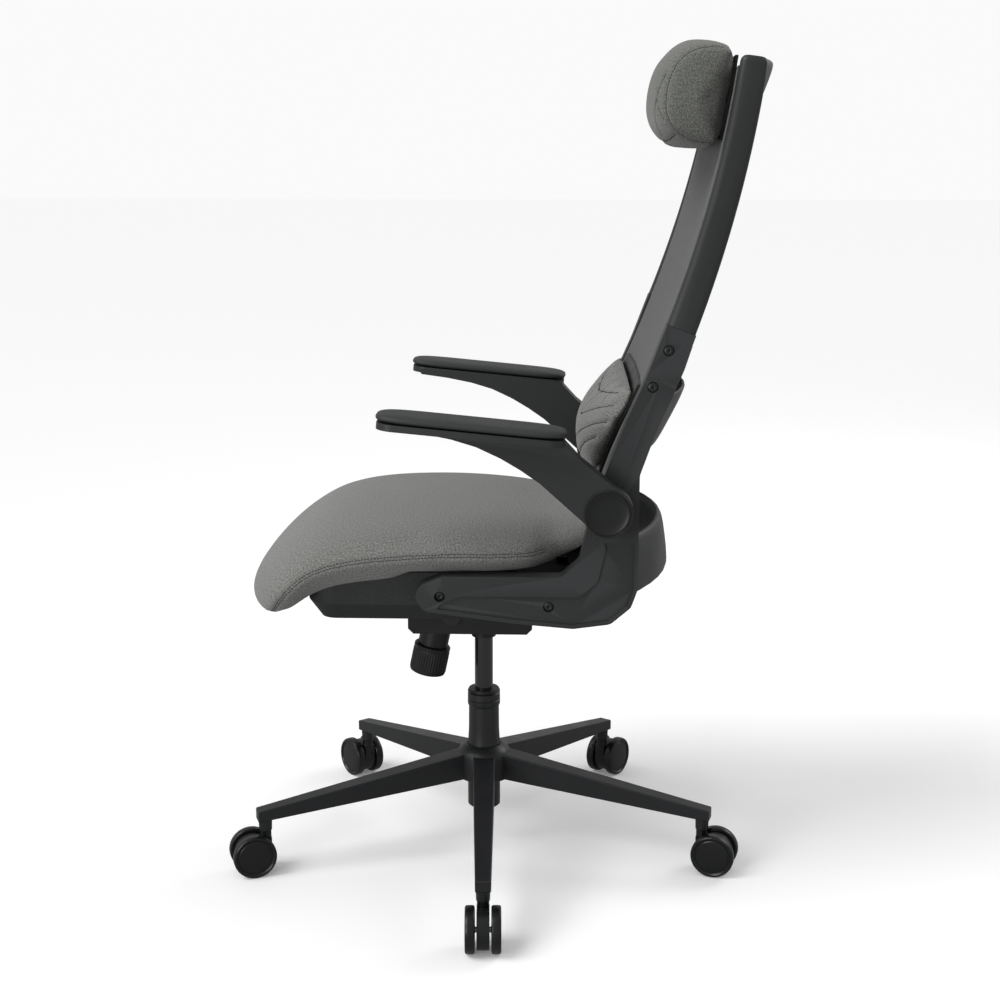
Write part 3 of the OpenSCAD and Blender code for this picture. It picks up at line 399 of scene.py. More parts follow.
def merged(node):
    """A copy of a CAD node's mesh with its corners joined and its flat faces whole again."""
    bm = bmesh.new()
    bm.from_mesh(frame["nodes"][node].data)
    bmesh.ops.remove_doubles(bm, verts=bm.verts, dist=WELD)
    bmesh.ops.dissolve_limit(bm, angle_limit=math.radians(0.6), verts=bm.verts, edges=bm.edges)
    return bm


def lathe(profile, ring=False, steps=64):
    """A turning about +Z through points of (radius, height) in mm, closed on the axis or into a ring."""
    bm = bmesh.new()
    verts = [bm.verts.new((r * MM, 0, z * MM)) for r, z in profile]
    pairs = list(zip(verts, verts[1:])) + ([(verts[-1], verts[0])] if ring else [])
    edges = [bm.edges.new(pair) for pair in pairs]
    bmesh.ops.spin(
        bm, geom=verts + edges, cent=(0, 0, 0), axis=(0, 0, 1), angle=TAU, steps=steps, use_merge=True
    )
    bmesh.ops.remove_doubles(bm, verts=bm.verts, dist=WELD)
    bmesh.ops.recalc_face_normals(bm, faces=bm.faces)
    return bm


def pillow(powers, cuts):
    """A cube of quads drawn onto a rounded box from -1 to 1; a higher power is squarer along that axis."""
    bm = bmesh.new()
    bmesh.ops.create_cube(bm, size=2)
    bmesh.ops.subdivide_edges(bm, edges=bm.edges, cuts=cuts, use_grid_fill=True)
    for vert in bm.verts:
        low, high = 0.0, 1.0
        for _ in range(30):
            middle = (low + high) / 2
            if sum(abs(middle * c) ** p for c, p in zip(vert.co, powers)) < 1:
                low = middle
            else:
                high = middle
        vert.co *= low
    return bm


def turned(axis, place):
    """The move that stands a turning made on +Z along axis at place."""
    return Matrix.Translation(place) @ Vector(axis).to_track_quat("Z", "Y").to_matrix().to_4x4()


def weave_map(mesh):
    """Lays the weave on a mesh in metres, each face by the direction that it faces most."""
    layer = mesh.uv_layers.get(WEAVE) or mesh.uv_layers.new(name=WEAVE)
    for face in mesh.polygons:
        turn = [abs(c) for c in face.normal]
        across, along = (0, 1) if turn[2] >= max(turn[:2]) else (1, 2) if turn[0] >= turn[1] else (0, 2)
        for corner in face.loop_indices:
            point = mesh.vertices[mesh.loops[corner].vertex_index].co
            layer.data[corner].uv = (point[across], point[along])


def new_object(name, bm):
    """An object that takes over a bmesh."""
    mesh = bpy.data.meshes.new(name)
    bm.to_mesh(mesh)
    bm.free()
    made = bpy.data.objects.new(name, mesh)
    bpy.context.scene.collection.objects.link(made)
    return made


def settle(made):
    """Applies every modifier of an object to its mesh."""
    graph = bpy.context.evaluated_depsgraph_get()
    old = made.data
    made.data = bpy.data.meshes.new_from_object(made.evaluated_get(graph))
    made.modifiers.clear()
    bpy.data.meshes.remove(old)


def dress(made, body, material, stands_for=(), crease=38):
    """Finishes a piece: shading, material, body and the CAD nodes that it stands for."""
    mesh = made.data
    mesh.shade_smooth()
    if crease:
        mesh.set_sharp_from_angle(angle=math.radians(crease))
    mesh.materials.clear()
    mesh.materials.append(material)
    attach(made, body)
    if stands_for:
        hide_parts(*stands_for)
    return made


def soften(made, radius, steps=3, angle=32):
    """Leaves a moulded radius on the sharp edges of a piece."""
    bevel = made.modifiers.new("moulded_edges", "BEVEL")
    bevel.width = radius
    bevel.segments = steps
    bevel.limit_method = "ANGLE"
    bevel.angle_limit = math.radians(angle)
    bevel.use_clamp_overlap = True
    bevel.harden_normals = True
    return made


def moulding(node, name, body, material, radius, steps=3):
    """A CAD node's own shape as a moulding with rounded edges."""
    made = new_object(name, merged(node))
    dress(made, body, material, [node])
    return soften(made, radius, steps)


def paint(node, material):
    """Gives a CAD node that is shown as it is its material."""
    shown = frame["nodes"][node]
    shown.data.materials.clear()
    shown.data.materials.append(material)


def even_grid(made, voxel):
    """Lays an object out again on an even grid of faces."""
    grid = made.modifiers.new("even_grid", "REMESH")
    grid.mode = "VOXEL"
    grid.voxel_size = voxel
    settle(made)


def relax(made, rounds, share=0.5):
    """Smooths an object's surface."""
    bm = bmesh.new()
    bm.from_mesh(made.data)
    for _ in range(rounds):
        bmesh.ops.smooth_vert(
            bm, verts=bm.verts, factor=share, use_axis_x=True, use_axis_y=True, use_axis_z=True
        )
    bm.to_mesh(made.data)
    bm.free()


def fill_out(made, cap):
    """Swells a pad as foam swells its cover, with no point moving further than cap, then doubles its grid."""
    cloth = settings("chair_cloth")
    scene = bpy.context.scene
    before = [v.co.copy() for v in made.data.vertices]
    cover = made.modifiers.new("cover", "CLOTH")
    cover.settings.use_pressure = True
    cover.settings.uniform_pressure_force = cloth.pressure
    cover.settings.effector_weights.gravity = 0
    cover.settings.tension_stiffness = 25
    cover.settings.compression_stiffness = 25
    cover.settings.quality = 4
    cover.point_cache.frame_start = 1
    cover.point_cache.frame_end = cloth.frames
    for step in range(1, cloth.frames + 1):
        scene.frame_set(step)
    settle(made)
    scene.frame_set(1)
    for vert, was in zip(made.data.vertices, before):
        move = vert.co - was
        if move.length > cap:
            vert.co = was + move.normalized() * cap
    relax(made, 2)
    finer = made.modifiers.new("finer", "SUBSURF")
    finer.levels = finer.render_levels = 1
    settle(made)


def resampled(points, pitch):
    """Points along a line through the given points, a pitch apart."""
    spots, left = [points[0].copy()], pitch
    for a, b in zip(points, points[1:]):
        span = (b - a).length
        while span > left:
            a = a + (b - a) * (left / span)
            spots.append(a.copy())
            span, left = (b - a).length, pitch
        left -= span
    return spots


def on_surface(made, points):
    """The points pulled onto an object's surface, each with the surface's normal."""
    tree = BVHTree.FromPolygons(
        [v.co for v in made.data.vertices], [list(face.vertices) for face in made.data.polygons]
    )
    return [tree.find_nearest(p)[:2] for p in points]


def sink(made, lines, depth, half_width):
    """Draws an object's surface in along sewn lines."""
    spots = [p for line in lines for p in resampled(line, 1.5 * MM)]
    near = KDTree(len(spots))
    for i, spot in enumerate(spots):
        near.insert(spot, i)
    near.balance()
    normals = [v.normal.copy() for v in made.data.vertices]
    for vert, normal in zip(made.data.vertices, normals):
        distance = near.find(vert.co)[2]
        if distance < 3 * half_width:
            vert.co -= normal * depth * math.exp(-((distance / half_width) ** 2))


def stitched(name, made, lines, body):
    """Rows of stitches that lie on an object's surface along lines."""
    sewing = settings("chair_stitch")
    bm = bmesh.new()
    bmesh.ops.create_uvsphere(bm, u_segments=8, v_segments=5, radius=1)
    ball = [v.co.copy() for v in bm.verts]
    ball_faces = [[v.index for v in face.verts] for face in bm.faces]
    bm.clear()
    points, faces = [], []
    for line in lines:
        spots = on_surface(made, resampled(line, sewing.pitch))
        for (here, normal), (ahead, _) in zip(spots, spots[1:]):
            along = (ahead - here).normalized()
            side = normal.cross(along).normalized()
            basis = Matrix((along, side, along.cross(side))).transposed().to_4x4()
            size = Matrix.Diagonal((sewing.stitch / 2, sewing.thread / 2, sewing.thread / 2, 1))
            place = Matrix.Translation((here + ahead) / 2 + normal * sewing.thread * 0.2) @ basis @ size
            first = len(points)
            points += [place @ point for point in ball]
            faces += [[first + i for i in face] for face in ball_faces]
    rows = bpy.data.meshes.new(name)
    rows.from_pydata(points, [], faces)
    bm.from_mesh(rows)
    bpy.data.meshes.remove(rows)
    return dress(new_object(name, bm), body, sewing_thread(), crease=0)


# ---- Base and casters ----


def leg(bm, turn):
    """One tapered leg from the hub to its caster socket, with an upright rounded end."""
    root, tip = 30 * MM, 357 * MM
    root_half, tip_half = 17 * MM, 11 * MM
    root_low, root_high = 114 * MM, 155 * MM
    tip_low, tip_high = 82 * MM, 99 * MM
    made = bmesh.ops.create_cube(bm, size=2)["verts"]
    for vert in made:
        far = vert.co.x > 0
        vert.co = Vector((
            tip if far else root,
            math.copysign(tip_half if far else root_half, vert.co.y),
            (tip_high if far else root_high) if vert.co.z > 0 else (tip_low if far else root_low),
        ))
    ends = [e for e in bm.edges if e.is_valid and all(v in made and v.co.x == tip for v in e.verts)
            and abs(e.verts[0].co.y - e.verts[1].co.y) < WELD]
    rounded = bmesh.ops.bevel(
        bm, geom=ends, offset=7 * MM, segments=6, profile=0.5, affect="EDGES", material=-1
    )
    verts = {v for v in made if v.is_valid} | set(rounded["verts"])
    bmesh.ops.rotate(bm, verts=list(verts), cent=(0, 0, 0), matrix=Matrix.Rotation(turn, 3, "Z"))


class CHAIR_OT_star_base(bpy.types.Operator):
    """Five-legged nylon base with a domed hub and a socket at each tip"""
    bl_idname = "chair.star_base"
    bl_label = "Star base"

    def execute(self, context):
        nylon = glass_filled_nylon()
        stations = [caster_place(k) for k in CASTERS]
        bm = bmesh.new()
        for place in stations:
            leg(bm, math.atan2(place.y, place.x))
        legs = dress(new_object("base_legs", bm), "base", nylon)
        soften(legs, settings("chair_moulding").edge, 3, 25)
        hub = lathe([
            (25.1, 112), (40, 112), (42, 114), (42, 148), (40.5, 153), (36, 159), (31, 163), (28, 165),
            (25.1, 165),
        ], ring=True, steps=96)
        hub = dress(new_object("base_hub", hub), "base", nylon, ["star_base"], crease=30)
        soften(hub, 0.8 * MM, 2, 28)
        sockets = bmesh.new()
        for place in stations:
            socket = lathe([
                (5.6, 66), (8.6, 66), (9.6, 67), (10.2, 84), (10.2, 92), (5.6, 92),
            ], ring=True, steps=32)
            bmesh.ops.translate(socket, verts=socket.verts, vec=(place.x, place.y, 0))
            part = bpy.data.meshes.new("socket")
            socket.to_mesh(part)
            socket.free()
            sockets.from_mesh(part)
            bpy.data.meshes.remove(part)
        dress(new_object("base_sockets", sockets), "base", nylon, crease=30)
        paint("caster_stems", zinc_plated_steel())
        return {"FINISHED"}


def joint(name):
    """A joint of the packed frame by name."""
    return next(j for j in frame["joints"] if j["name"] == name)


def caster_place(k):
    """Where the stem of caster k meets the base."""
    return Vector(joint(f"caster_swivel_{k}")["pos_m"])


def wheel():
    """One caster wheel about +Z: a dished outer face, a rim ring, a round tread and a hollow back."""
    outer = [
        (0, 13.4), (9, 13.5), (20, 13.2), (24.2, 12.7), (25.0, 12.0), (26.2, 12.0), (26.9, 12.9),
        (28.6, 14.2), (30.2, 14.2), (31.6, 13.3), (32.3, 11.8), (32.5, 9.5), (32.5, 4), (32.1, 2.0),
        (31.2, 1.0),
    ]
    back = [
        (28.8, 0.6), (26.8, 0.6), (25.9, 1.6), (25.4, 7.2), (9.2, 7.2), (8.2, 6.6), (7.6, 0.6), (4.2, 0.2),
        (4.2, 11), (0, 11),
    ]
    return lathe(outer + back, steps=72)


class CHAIR_OT_casters(bpy.types.Operator):
    """Five twin-wheel casters"""
    bl_idname = "chair.casters"
    bl_label = "Casters"

    def execute(self, context):
        nylon, steel = caster_nylon(), zinc_plated_steel()
        inner = 10.6 * MM       # from the middle of the hood to a wheel's back face
        for k in CASTERS:
            moulding(f"caster_hood_{k}", f"hood_{k}", f"caster_{k}", nylon, 1.4 * MM)
            paint(f"caster_axle_{k}", steel)
            for letter in "ab":
                roll = joint(f"wheel_roll_{letter}_{k}")
                low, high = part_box(f"caster_wheel_{letter}_{k}")
                axis = Vector(roll["axis"])
                centre = Vector(roll["pos_m"])
                out = math.copysign(1, ((low + high) / 2 - centre).dot(axis))
                bm = wheel()
                bmesh.ops.transform(bm, matrix=turned(axis * out, centre + axis * out * inner), verts=bm.verts)
                made = dress(
                    new_object(f"wheel_{letter}_{k}", bm), f"wheel_{letter}_{k}", nylon,
                    [f"caster_wheel_{letter}_{k}"], crease=30,
                )
                soften(made, 0.4 * MM, 2, 30)
        return {"FINISHED"}


# ---- Column and mechanism ----


class CHAIR_OT_column(bpy.types.Operator):
    """Gas column: powder-coated sleeve with a collar, guide bush and lacquered cylinder"""
    bl_idname = "chair.column"
    bl_label = "Gas column"

    def execute(self, context):
        low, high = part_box("column_tube")
        foot, mouth, r = low.z / MM, high.z / MM, high.x / MM
        sleeve = lathe([
            (5.4, foot), (r - 2, foot), (r, foot + 2), (r, 166), (r - 0.4, 168), (r - 1.6, 190),
            (r - 1.8, mouth - 24), (r - 0.6, mouth - 22), (r, mouth - 20.5), (r, mouth - 14), (r - 0.7, mouth - 13.2),
            (r - 0.7, mouth - 12.4), (r, mouth - 11.6), (r - 0.2, mouth - 2.6), (r - 2.6, mouth), (r - 4.6, mouth),
            (r - 4.6, foot + 4), (5.4, foot + 4),
        ], ring=True, steps=96)
        dress(
            new_object("column_sleeve", sleeve), "base", powder_coated_steel(), ["column_tube"],
            crease=30,
        )
        low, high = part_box("gas_cylinder")
        foot, head, r = low.z / MM, high.z / MM, high.x / MM
        cylinder = lathe([
            (5.1, foot), (r - 1.5, foot), (r, foot + 1.5), (r, head - 3), (r - 2.2, head), (4.1, head),
            (4.1, head - 18), (r - 2, head - 18), (r - 2, foot + 16), (5.1, foot + 16),
        ], ring=True, steps=96)
        dress(
            new_object("column_cylinder", cylinder), "lift", gloss_lacquered_steel(),
            ["gas_cylinder"], crease=30,
        )
        paint("column_bush", satin_polypropylene())
        paint("rod_bearing", zinc_plated_steel())
        paint("piston_rod", zinc_plated_steel())
        paint("rod_clip", zinc_plated_steel())
        paint("gas_button", zinc_plated_steel())
        return {"FINISHED"}


class CHAIR_OT_mechanism(bpy.types.Operator):
    """Tilt mechanism under the seat: housing, plate, pin and springs"""
    bl_idname = "chair.mechanism"
    bl_label = "Tilt mechanism"

    def execute(self, context):
        moulding("tilt_housing", "mechanism_housing", "lift", satin_polypropylene(), 1.5 * MM)
        plate = new_object("mechanism_plate", merged("seat_plate"))
        dress(plate, "seat", powder_coated_steel(), ["seat_plate"])
        soften(plate, 0.8 * MM, 2)
        paint("tilt_pin", powder_coated_steel())
        for node in ("tilt_springs", "tension_bolt", "tension_nut"):
            paint(node, zinc_plated_steel())
        moulding("lever_sleeve", "lever_slide", "lever_lock", satin_polypropylene(), 0.8 * MM)
        lever = moulding("height_lever", "lever_paddle", "lever", satin_polypropylene(), 0.8 * MM)
        lever.data.set_sharp_from_angle(angle=math.radians(60))
        return {"FINISHED"}


class CHAIR_OT_tension_knob(bpy.types.Operator):
    """Fluted knob that sets the tilt's tension"""
    bl_idname = "chair.tension_knob"
    bl_label = "Tension knob"

    flutes: IntProperty(name="Flutes", description="Grip flutes round the knob", default=40, min=8)

    def execute(self, context):
        turn = joint("tension_turn")
        half = 22.5
        r = 28.0
        profile = [
            (0, -half), (20, -half), (20.8, -half + 0.8), (22.4, -half + 0.8), (23.2, -half), (24.4, -half),
            (26.6, -half + 1.2), (27.6, -half + 4), (r, -half + 6),
        ]
        profile += [(r, -half + 6 + i * 3) for i in range(1, 11)]
        profile += [(27.4, half - 6), (27.8, half - 5), (27.8, half - 1.4), (26.6, half), (5.1, half), (0, half)]
        bm = lathe(profile, steps=self.flutes * 6)
        for vert in bm.verts:
            across = Vector((vert.co.x, vert.co.y))
            if across.length > 27.9 * MM:
                angle = math.atan2(vert.co.y, vert.co.x)
                dip = 0.5 - 0.5 * math.cos(angle * self.flutes)
                across *= 1 - 0.028 * dip ** 2
                vert.co.x, vert.co.y = across
        bmesh.ops.transform(bm, matrix=turned(turn["axis"], turn["pos_m"]), verts=bm.verts)
        grip = new_object("knob_grip", bm)
        dress(grip, "knob", satin_polypropylene(), ["tension_knob"], crease=30)
        return {"FINISHED"}


# ---- Seat ----


class CHAIR_OT_seat_shell(bpy.types.Operator):
    """Grained tray under the cushion"""
    bl_idname = "chair.seat_shell"
    bl_label = "Seat shell"

    def execute(self, context):
        moulding("seat_shell", "seat_tray", "seat", grained_polypropylene(), 2.2 * MM)
        return {"FINISHED"}


SEAT_POWERS = (3.2, 7, 2)       # across, along and through the cushion
# Side profiles of the cushion from its lip to its rear, as (y, z) in mm: crown and underside
# along the middle, and the seam at either side
SEAT_CROWN = [
    (-332, 404), (-341, 424), (-338, 445), (-325, 468), (-297, 500), (-262, 528), (-226, 547), (-165, 559),
    (-60, 562), (60, 560), (164, 555),
]
SEAT_UNDERSIDE = [
    (-306, 408), (-291, 416), (-270, 431), (-251, 446), (-232, 458), (-205, 468), (-170, 476), (-120, 483),
    (-40, 489), (60, 491), (164, 491),
]
SEAT_SEAM = [
    (-271, 426), (-274, 440), (-267, 457), (-254, 474), (-234, 490), (-206, 502), (-165, 511), (-110, 517),
    (-35, 521), (60, 518), (164, 512),
]


def along_curve(points, share):
    """A point on a smooth curve through points of (y, z) in mm; share runs from 0 to 1."""
    place = min(max(share, 0), 1) * (len(points) - 1)
    i = min(int(place), len(points) - 2)
    t = place - i
    before, start, end, after = (Vector(points[min(max(i + k, 0), len(points) - 1)]) for k in (-1, 0, 1, 2))
    bend = (end - before) * (t - 2 * t * t + t ** 3) + (after - start) * (t ** 3 - t * t)
    return (start * (1 - 3 * t * t + 2 * t ** 3) + end * (3 * t * t - 2 * t ** 3) + bend / 2) * MM


def eased(share):
    """A smooth step from 0 to 1."""
    share = min(1, max(0, share))
    return share * share * (3 - 2 * share)


def seat_spot(across, along, through):
    """A point of the cushion: level at the rear, and turned down round a full nose at the front."""
    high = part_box("seat_cushion")[1]
    share = (along + 1) / 2
    crown, underside, seam = (along_curve(line, share) for line in (SEAT_CROWN, SEAT_UNDERSIDE, SEAT_SEAM))
    middle = (crown + underside) / 2
    y, z = middle + (crown - underside) / 2 * through + (seam - middle) * abs(across) ** 2.2
    # The side band under the seam stands nearly upright
    square = 1 - 0.65 * min(1, max(0, -through) / 0.8)
    wide = math.copysign(abs(across) ** square, across)
    # It narrows to pass between the brackets, and a little towards its lip
    half = high.x - 1 * MM - eased((y - 72 * MM) / (46 * MM)) * 41 * MM - 9 * MM * (1 - eased(share / 0.3))
    x = wide * half
    on_brackets = eased((abs(x) - 196 * MM) / (12 * MM)) * eased((y + 120 * MM) / (30 * MM))
    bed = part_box("seat_shell")[1].z + 6 * MM
    if z < bed:
        z += (bed - z) * on_brackets
    dish = 4 * MM * math.exp(-((across / 0.5) ** 2) - ((along - 0.35) / 0.4) ** 2) if through > 0.5 else 0
    return Vector((x, y, z - dish))


def seat_rim(through, steps=60):
    """The line round the cushion's sides and lip at a share of its thickness."""
    across, along, depth = SEAT_POWERS
    left = 1 - abs(through) ** depth
    far = 0.965
    side = [far * 2 * i / steps - far for i in range(steps + 1) if far * 2 * i / steps - far < 0.9]
    half = [((left - abs(v) ** along) ** (1 / across), v) for v in side]
    tip = half[0][0]
    lip = [tip * (1 - 2 * i / steps) for i in range(steps + 1)]
    front = [(u, -((left - abs(u) ** across) ** (1 / along))) for u in lip]
    line = half[::-1] + front[1:-1] + [(-u, v) for u, v in half]
    return [seat_spot(u, v, through) for u, v in line]


class CHAIR_OT_seat_cushion(bpy.types.Operator):
    """Seat cushion: foam in a sewn cover that turns down at the front, with a stitched seam round its side"""
    bl_idname = "chair.seat_cushion"
    bl_label = "Seat cushion"

    def execute(self, context):
        cloth = settings("chair_cloth")
        bm = pillow(SEAT_POWERS, 40)
        for vert in bm.verts:
            vert.co = seat_spot(*vert.co)
        bmesh.ops.recalc_face_normals(bm, faces=bm.faces)
        cushion = new_object("seat_cover", bm)
        even_grid(cushion, cloth.voxel)
        relax(cushion, 3)
        fill_out(cushion, 4 * MM)
        seam, row = ([spot for spot, _ in on_surface(cushion, seat_rim(through))] for through in (0, 0.15))
        sink(cushion, [seam, row], 1.6 * MM, 2.4 * MM)
        weave_map(cushion.data)
        dress(cushion, "seat", seat_cloth(), ["seat_cushion"], crease=0)
        stitched("seat_stitches", cushion, [seam, row], "seat")
        return {"FINISHED"}


# ---- Back frame ----


class CHAIR_OT_back_frame(bpy.types.Operator):
    """Side brackets, uprights and cross rails of the back"""
    bl_idname = "chair.back_frame"
    bl_label = "Back frame"

    def execute(self, context):
        nylon = textured_nylon()
        for side in SIDES:
            moulding(f"side_bracket_{side}", f"bracket_{side}", "seat", nylon, 3.2 * MM, 4)
            moulding(f"back_upright_{side}", f"upright_{side}", "seat", nylon, 0.6 * MM, 2)
        for node, name in (("top_rail", "rail_top"), ("lumbar_rail", "rail_lumbar"), ("lower_rail", "rail_lower")):
            moulding(node, name, "seat", nylon, 0.6 * MM, 2)
        for node in ("headrest_plate", "lumbar_carrier"):
            moulding(node, f"{node}_skin", "seat", satin_polypropylene(), 1.0 * MM, 2)
        paint("arm_pins", zinc_plated_steel())
        return {"FINISHED"}


def screw_head():
    """A button head about +Z with a hexagon socket, its rim at z = 0."""
    head = lathe([(6.4, -3.2), (6.5, -0.6), (6.1, 0.1), (4.9, 0.7), (3.6, 0.9), (2.9, 0.9)], steps=48)
    inner = [e for e in head.edges if e.is_boundary and all(Vector(v.co.xy).length < 3 * MM for v in e.verts)]
    hexagon = bmesh.ops.create_circle(head, segments=6, radius=2.4 * MM)["verts"]
    bmesh.ops.translate(head, verts=hexagon, vec=(0, 0, 0.6 * MM))
    sides = [e for e in head.edges if all(v in hexagon for v in e.verts)]
    bmesh.ops.bridge_loops(head, edges=inner + sides)
    floor = bmesh.ops.extrude_edge_only(head, edges=sides)["geom"]
    low = [g for g in floor if isinstance(g, bmesh.types.BMVert)]
    bmesh.ops.translate(head, verts=low, vec=(0, 0, -2.2 * MM))
    bmesh.ops.contextual_create(head, geom=[g for g in floor if isinstance(g, bmesh.types.BMEdge)
                                            and all(v in low for v in g.verts)])
    bottom = [e for e in head.edges if e.is_boundary]
    bmesh.ops.contextual_create(head, geom=bottom)
    bmesh.ops.recalc_face_normals(head, faces=head.faces)
    return head


class CHAIR_OT_screws(bpy.types.Operator):
    """Button-head screws with hexagon sockets, set in the brackets"""
    bl_idname = "chair.screws"
    bl_label = "Frame screws"

    def execute(self, context):
        bm = bmesh.new()
        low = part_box("frame_screws")[0]
        places = []
        for spot, depth in SCREWS:
            for side in SIDES.values():
                places.append((Vector((side * (BRACKET_FACE - depth), *spot)), Vector((side, 0, 0))))
        for x in (-120 * MM, 120 * MM):
            for y in (-80 * MM, 120 * MM):
                places.append((Vector((x, y, low.z + 3.2 * MM)), Vector((0, 0, -1))))
        for place, axis in places:
            head = screw_head()
            bmesh.ops.transform(head, matrix=turned(axis, place), verts=head.verts)
            part = bpy.data.meshes.new("screw")
            head.to_mesh(part)
            head.free()
            bm.from_mesh(part)
            bpy.data.meshes.remove(part)
        screws = new_object("screw_heads", bm)
        dress(screws, "seat", powder_coated_steel(), ["frame_screws"], crease=30)
        return {"FINISHED"}


# ---- Back cloth and pads ----


def panel_front():
    """A finder for the front face of the back's cloth: gives y at a place across and up."""
    bm = merged("back_panel")
    bmesh.ops.triangulate(bm, faces=bm.faces)
    tree = BVHTree.FromBMesh(bm)
    bm.free()

    def find(x, z):
        hit = tree.ray_cast(Vector((x, -1, z)), Vector((0, 1, 0)))[0]
        return hit.y if hit else None
    return find


class CHAIR_OT_back_cloth(bpy.types.Operator):
    """Sheet of cloth stretched between the uprights"""
    bl_idname = "chair.back_cloth"
    bl_label = "Back cloth"

    across: IntProperty(name="Across", description="Faces across the sheet", default=60, min=8)
    up: IntProperty(name="Up", description="Faces up the sheet", default=150, min=8)

    def execute(self, context):
        low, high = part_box("back_panel")
        find = panel_front()
        margin = 1.2 * MM
        low_z, high_z = low.z + margin, high.z - margin
        low_half, high_half = high.x - margin, 183.5 * MM
        bend_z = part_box("back_upright_left")[0].z + 95 * MM
        bm = bmesh.new()
        bmesh.ops.create_grid(bm, x_segments=self.across, y_segments=self.up, size=1)
        for vert in bm.verts:
            z = low_z + (high_z - low_z) * (vert.co.y + 1) / 2
            half = low_half + (high_half - low_half) * max(0, z - bend_z) / (high_z - bend_z)
            x = vert.co.x * half
            vert.co = Vector((x, (find(x, z) or find(x * 0.97, z)) + 0.4 * MM, z))
        bmesh.ops.recalc_face_normals(bm, faces=bm.faces)
        sheet = new_object("back_sheet", bm)
        weave_map(sheet.data)
        tall = sum(
            (Vector((0, find(0, a), a)) - Vector((0, find(0, b), b))).length
            for a, b in zip(*(lambda s: (s, s[1:]))([low_z + (high_z - low_z) * i / 40 for i in range(41)]))
        )
        thick = sheet.modifiers.new("cloth_thickness", "SOLIDIFY")
        thick.thickness = 1.4 * MM
        thick.offset = 0
        dress(sheet, "seat", back_cloth(), ["back_panel"], crease=0)
        return {"FINISHED"}


def mirrored(lines):
    """Lines with their copies on the other side of the chair."""
    return lines + [[Vector((-p.x, p.y, p.z)) for p in line] for line in lines]


def smooth_line(points, rounds=3):
    """A soft curve past the given points, by cutting its corners."""
    for _ in range(rounds):
        cut = [points[0]]
        for a, b in zip(points, points[1:]):
            cut += [a * 0.75 + b * 0.25, a * 0.25 + b * 0.75]
        points = cut + [points[-1]]
    return points


def pad_from(node, name, voxel, shrink, rounds, cap):
    """A padded piece laid out in the space of a CAD solid and filled out."""
    bm = merged(node)
    bmesh.ops.recalc_face_normals(bm, faces=bm.faces)
    for vert, normal in [(v, v.normal.copy()) for v in bm.verts]:
        vert.co -= normal * shrink
    pad = new_object(name, bm)
    even_grid(pad, voxel)
    relax(pad, rounds)
    fill_out(pad, cap)
    return pad


class CHAIR_OT_lumbar_pad(bpy.types.Operator):
    """Quilted lumbar pad with diamonds that open into long arcs"""
    bl_idname = "chair.lumbar_pad"
    bl_label = "Lumbar pad"

    def execute(self, context):
        pad = pad_from("lumbar_pad", "lumbar_quilt", 4 * MM, 0.8 * MM, 5, 5 * MM)
        low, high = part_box("lumbar_pad")
        # The cover's edges wrap outwards until they nearly meet the uprights
        for vert in pad.data.vertices:
            vert.co.x *= 1 + 0.09 * eased((vert.co.z - low.z) / (60 * MM))
        front = low.y - 20 * MM
        arcs = [
            [(0, 0.80), (50, 0.83), (105, 0.89), (150, 0.93)],
            [(0, 0.52), (45, 0.60), (100, 0.70), (168, 0.82)],
            [(0, 0.24), (45, 0.34), (95, 0.47), (150, 0.60), (170, 0.64)],
            [(0, 0.04), (50, 0.12), (95, 0.24), (130, 0.38), (160, 0.46)],
            [(36, 1.0), (44, 0.84), (66, 0.66)],
            [(96, 1.0), (112, 0.88), (128, 0.76)],
            [(0, 0.80), (16, 0.90), (36, 1.0)],
            [(0, 0.52), (22, 0.66), (44, 0.84), (70, 1.0)],
        ]
        lines = []
        for arc in arcs:
            raw = [Vector((x * MM, front, low.z + (high.z - low.z) * t)) for x, t in arc]
            lines.append(smooth_line(raw))
        spots = [[p for p in self.cast(pad, resampled(line, 2 * MM))] for line in mirrored(lines)]
        spots = [line for line in spots if len(line) > 1]
        sink(pad, spots, 2.6 * MM, 3.0 * MM)
        weave_map(pad.data)
        dress(pad, "seat", seat_cloth(), ["lumbar_pad"], crease=0)
        stitched("lumbar_stitches", pad, spots, "seat")
        return {"FINISHED"}

    def cast(self, pad, points):
        """The points pushed straight back onto the pad's front."""
        tree = BVHTree.FromPolygons(
            [v.co for v in pad.data.vertices], [list(face.vertices) for face in pad.data.polygons]
        )
        hits = (tree.ray_cast(p, Vector((0, 1, 0)))[0] for p in points)
        return [hit for hit in hits if hit]


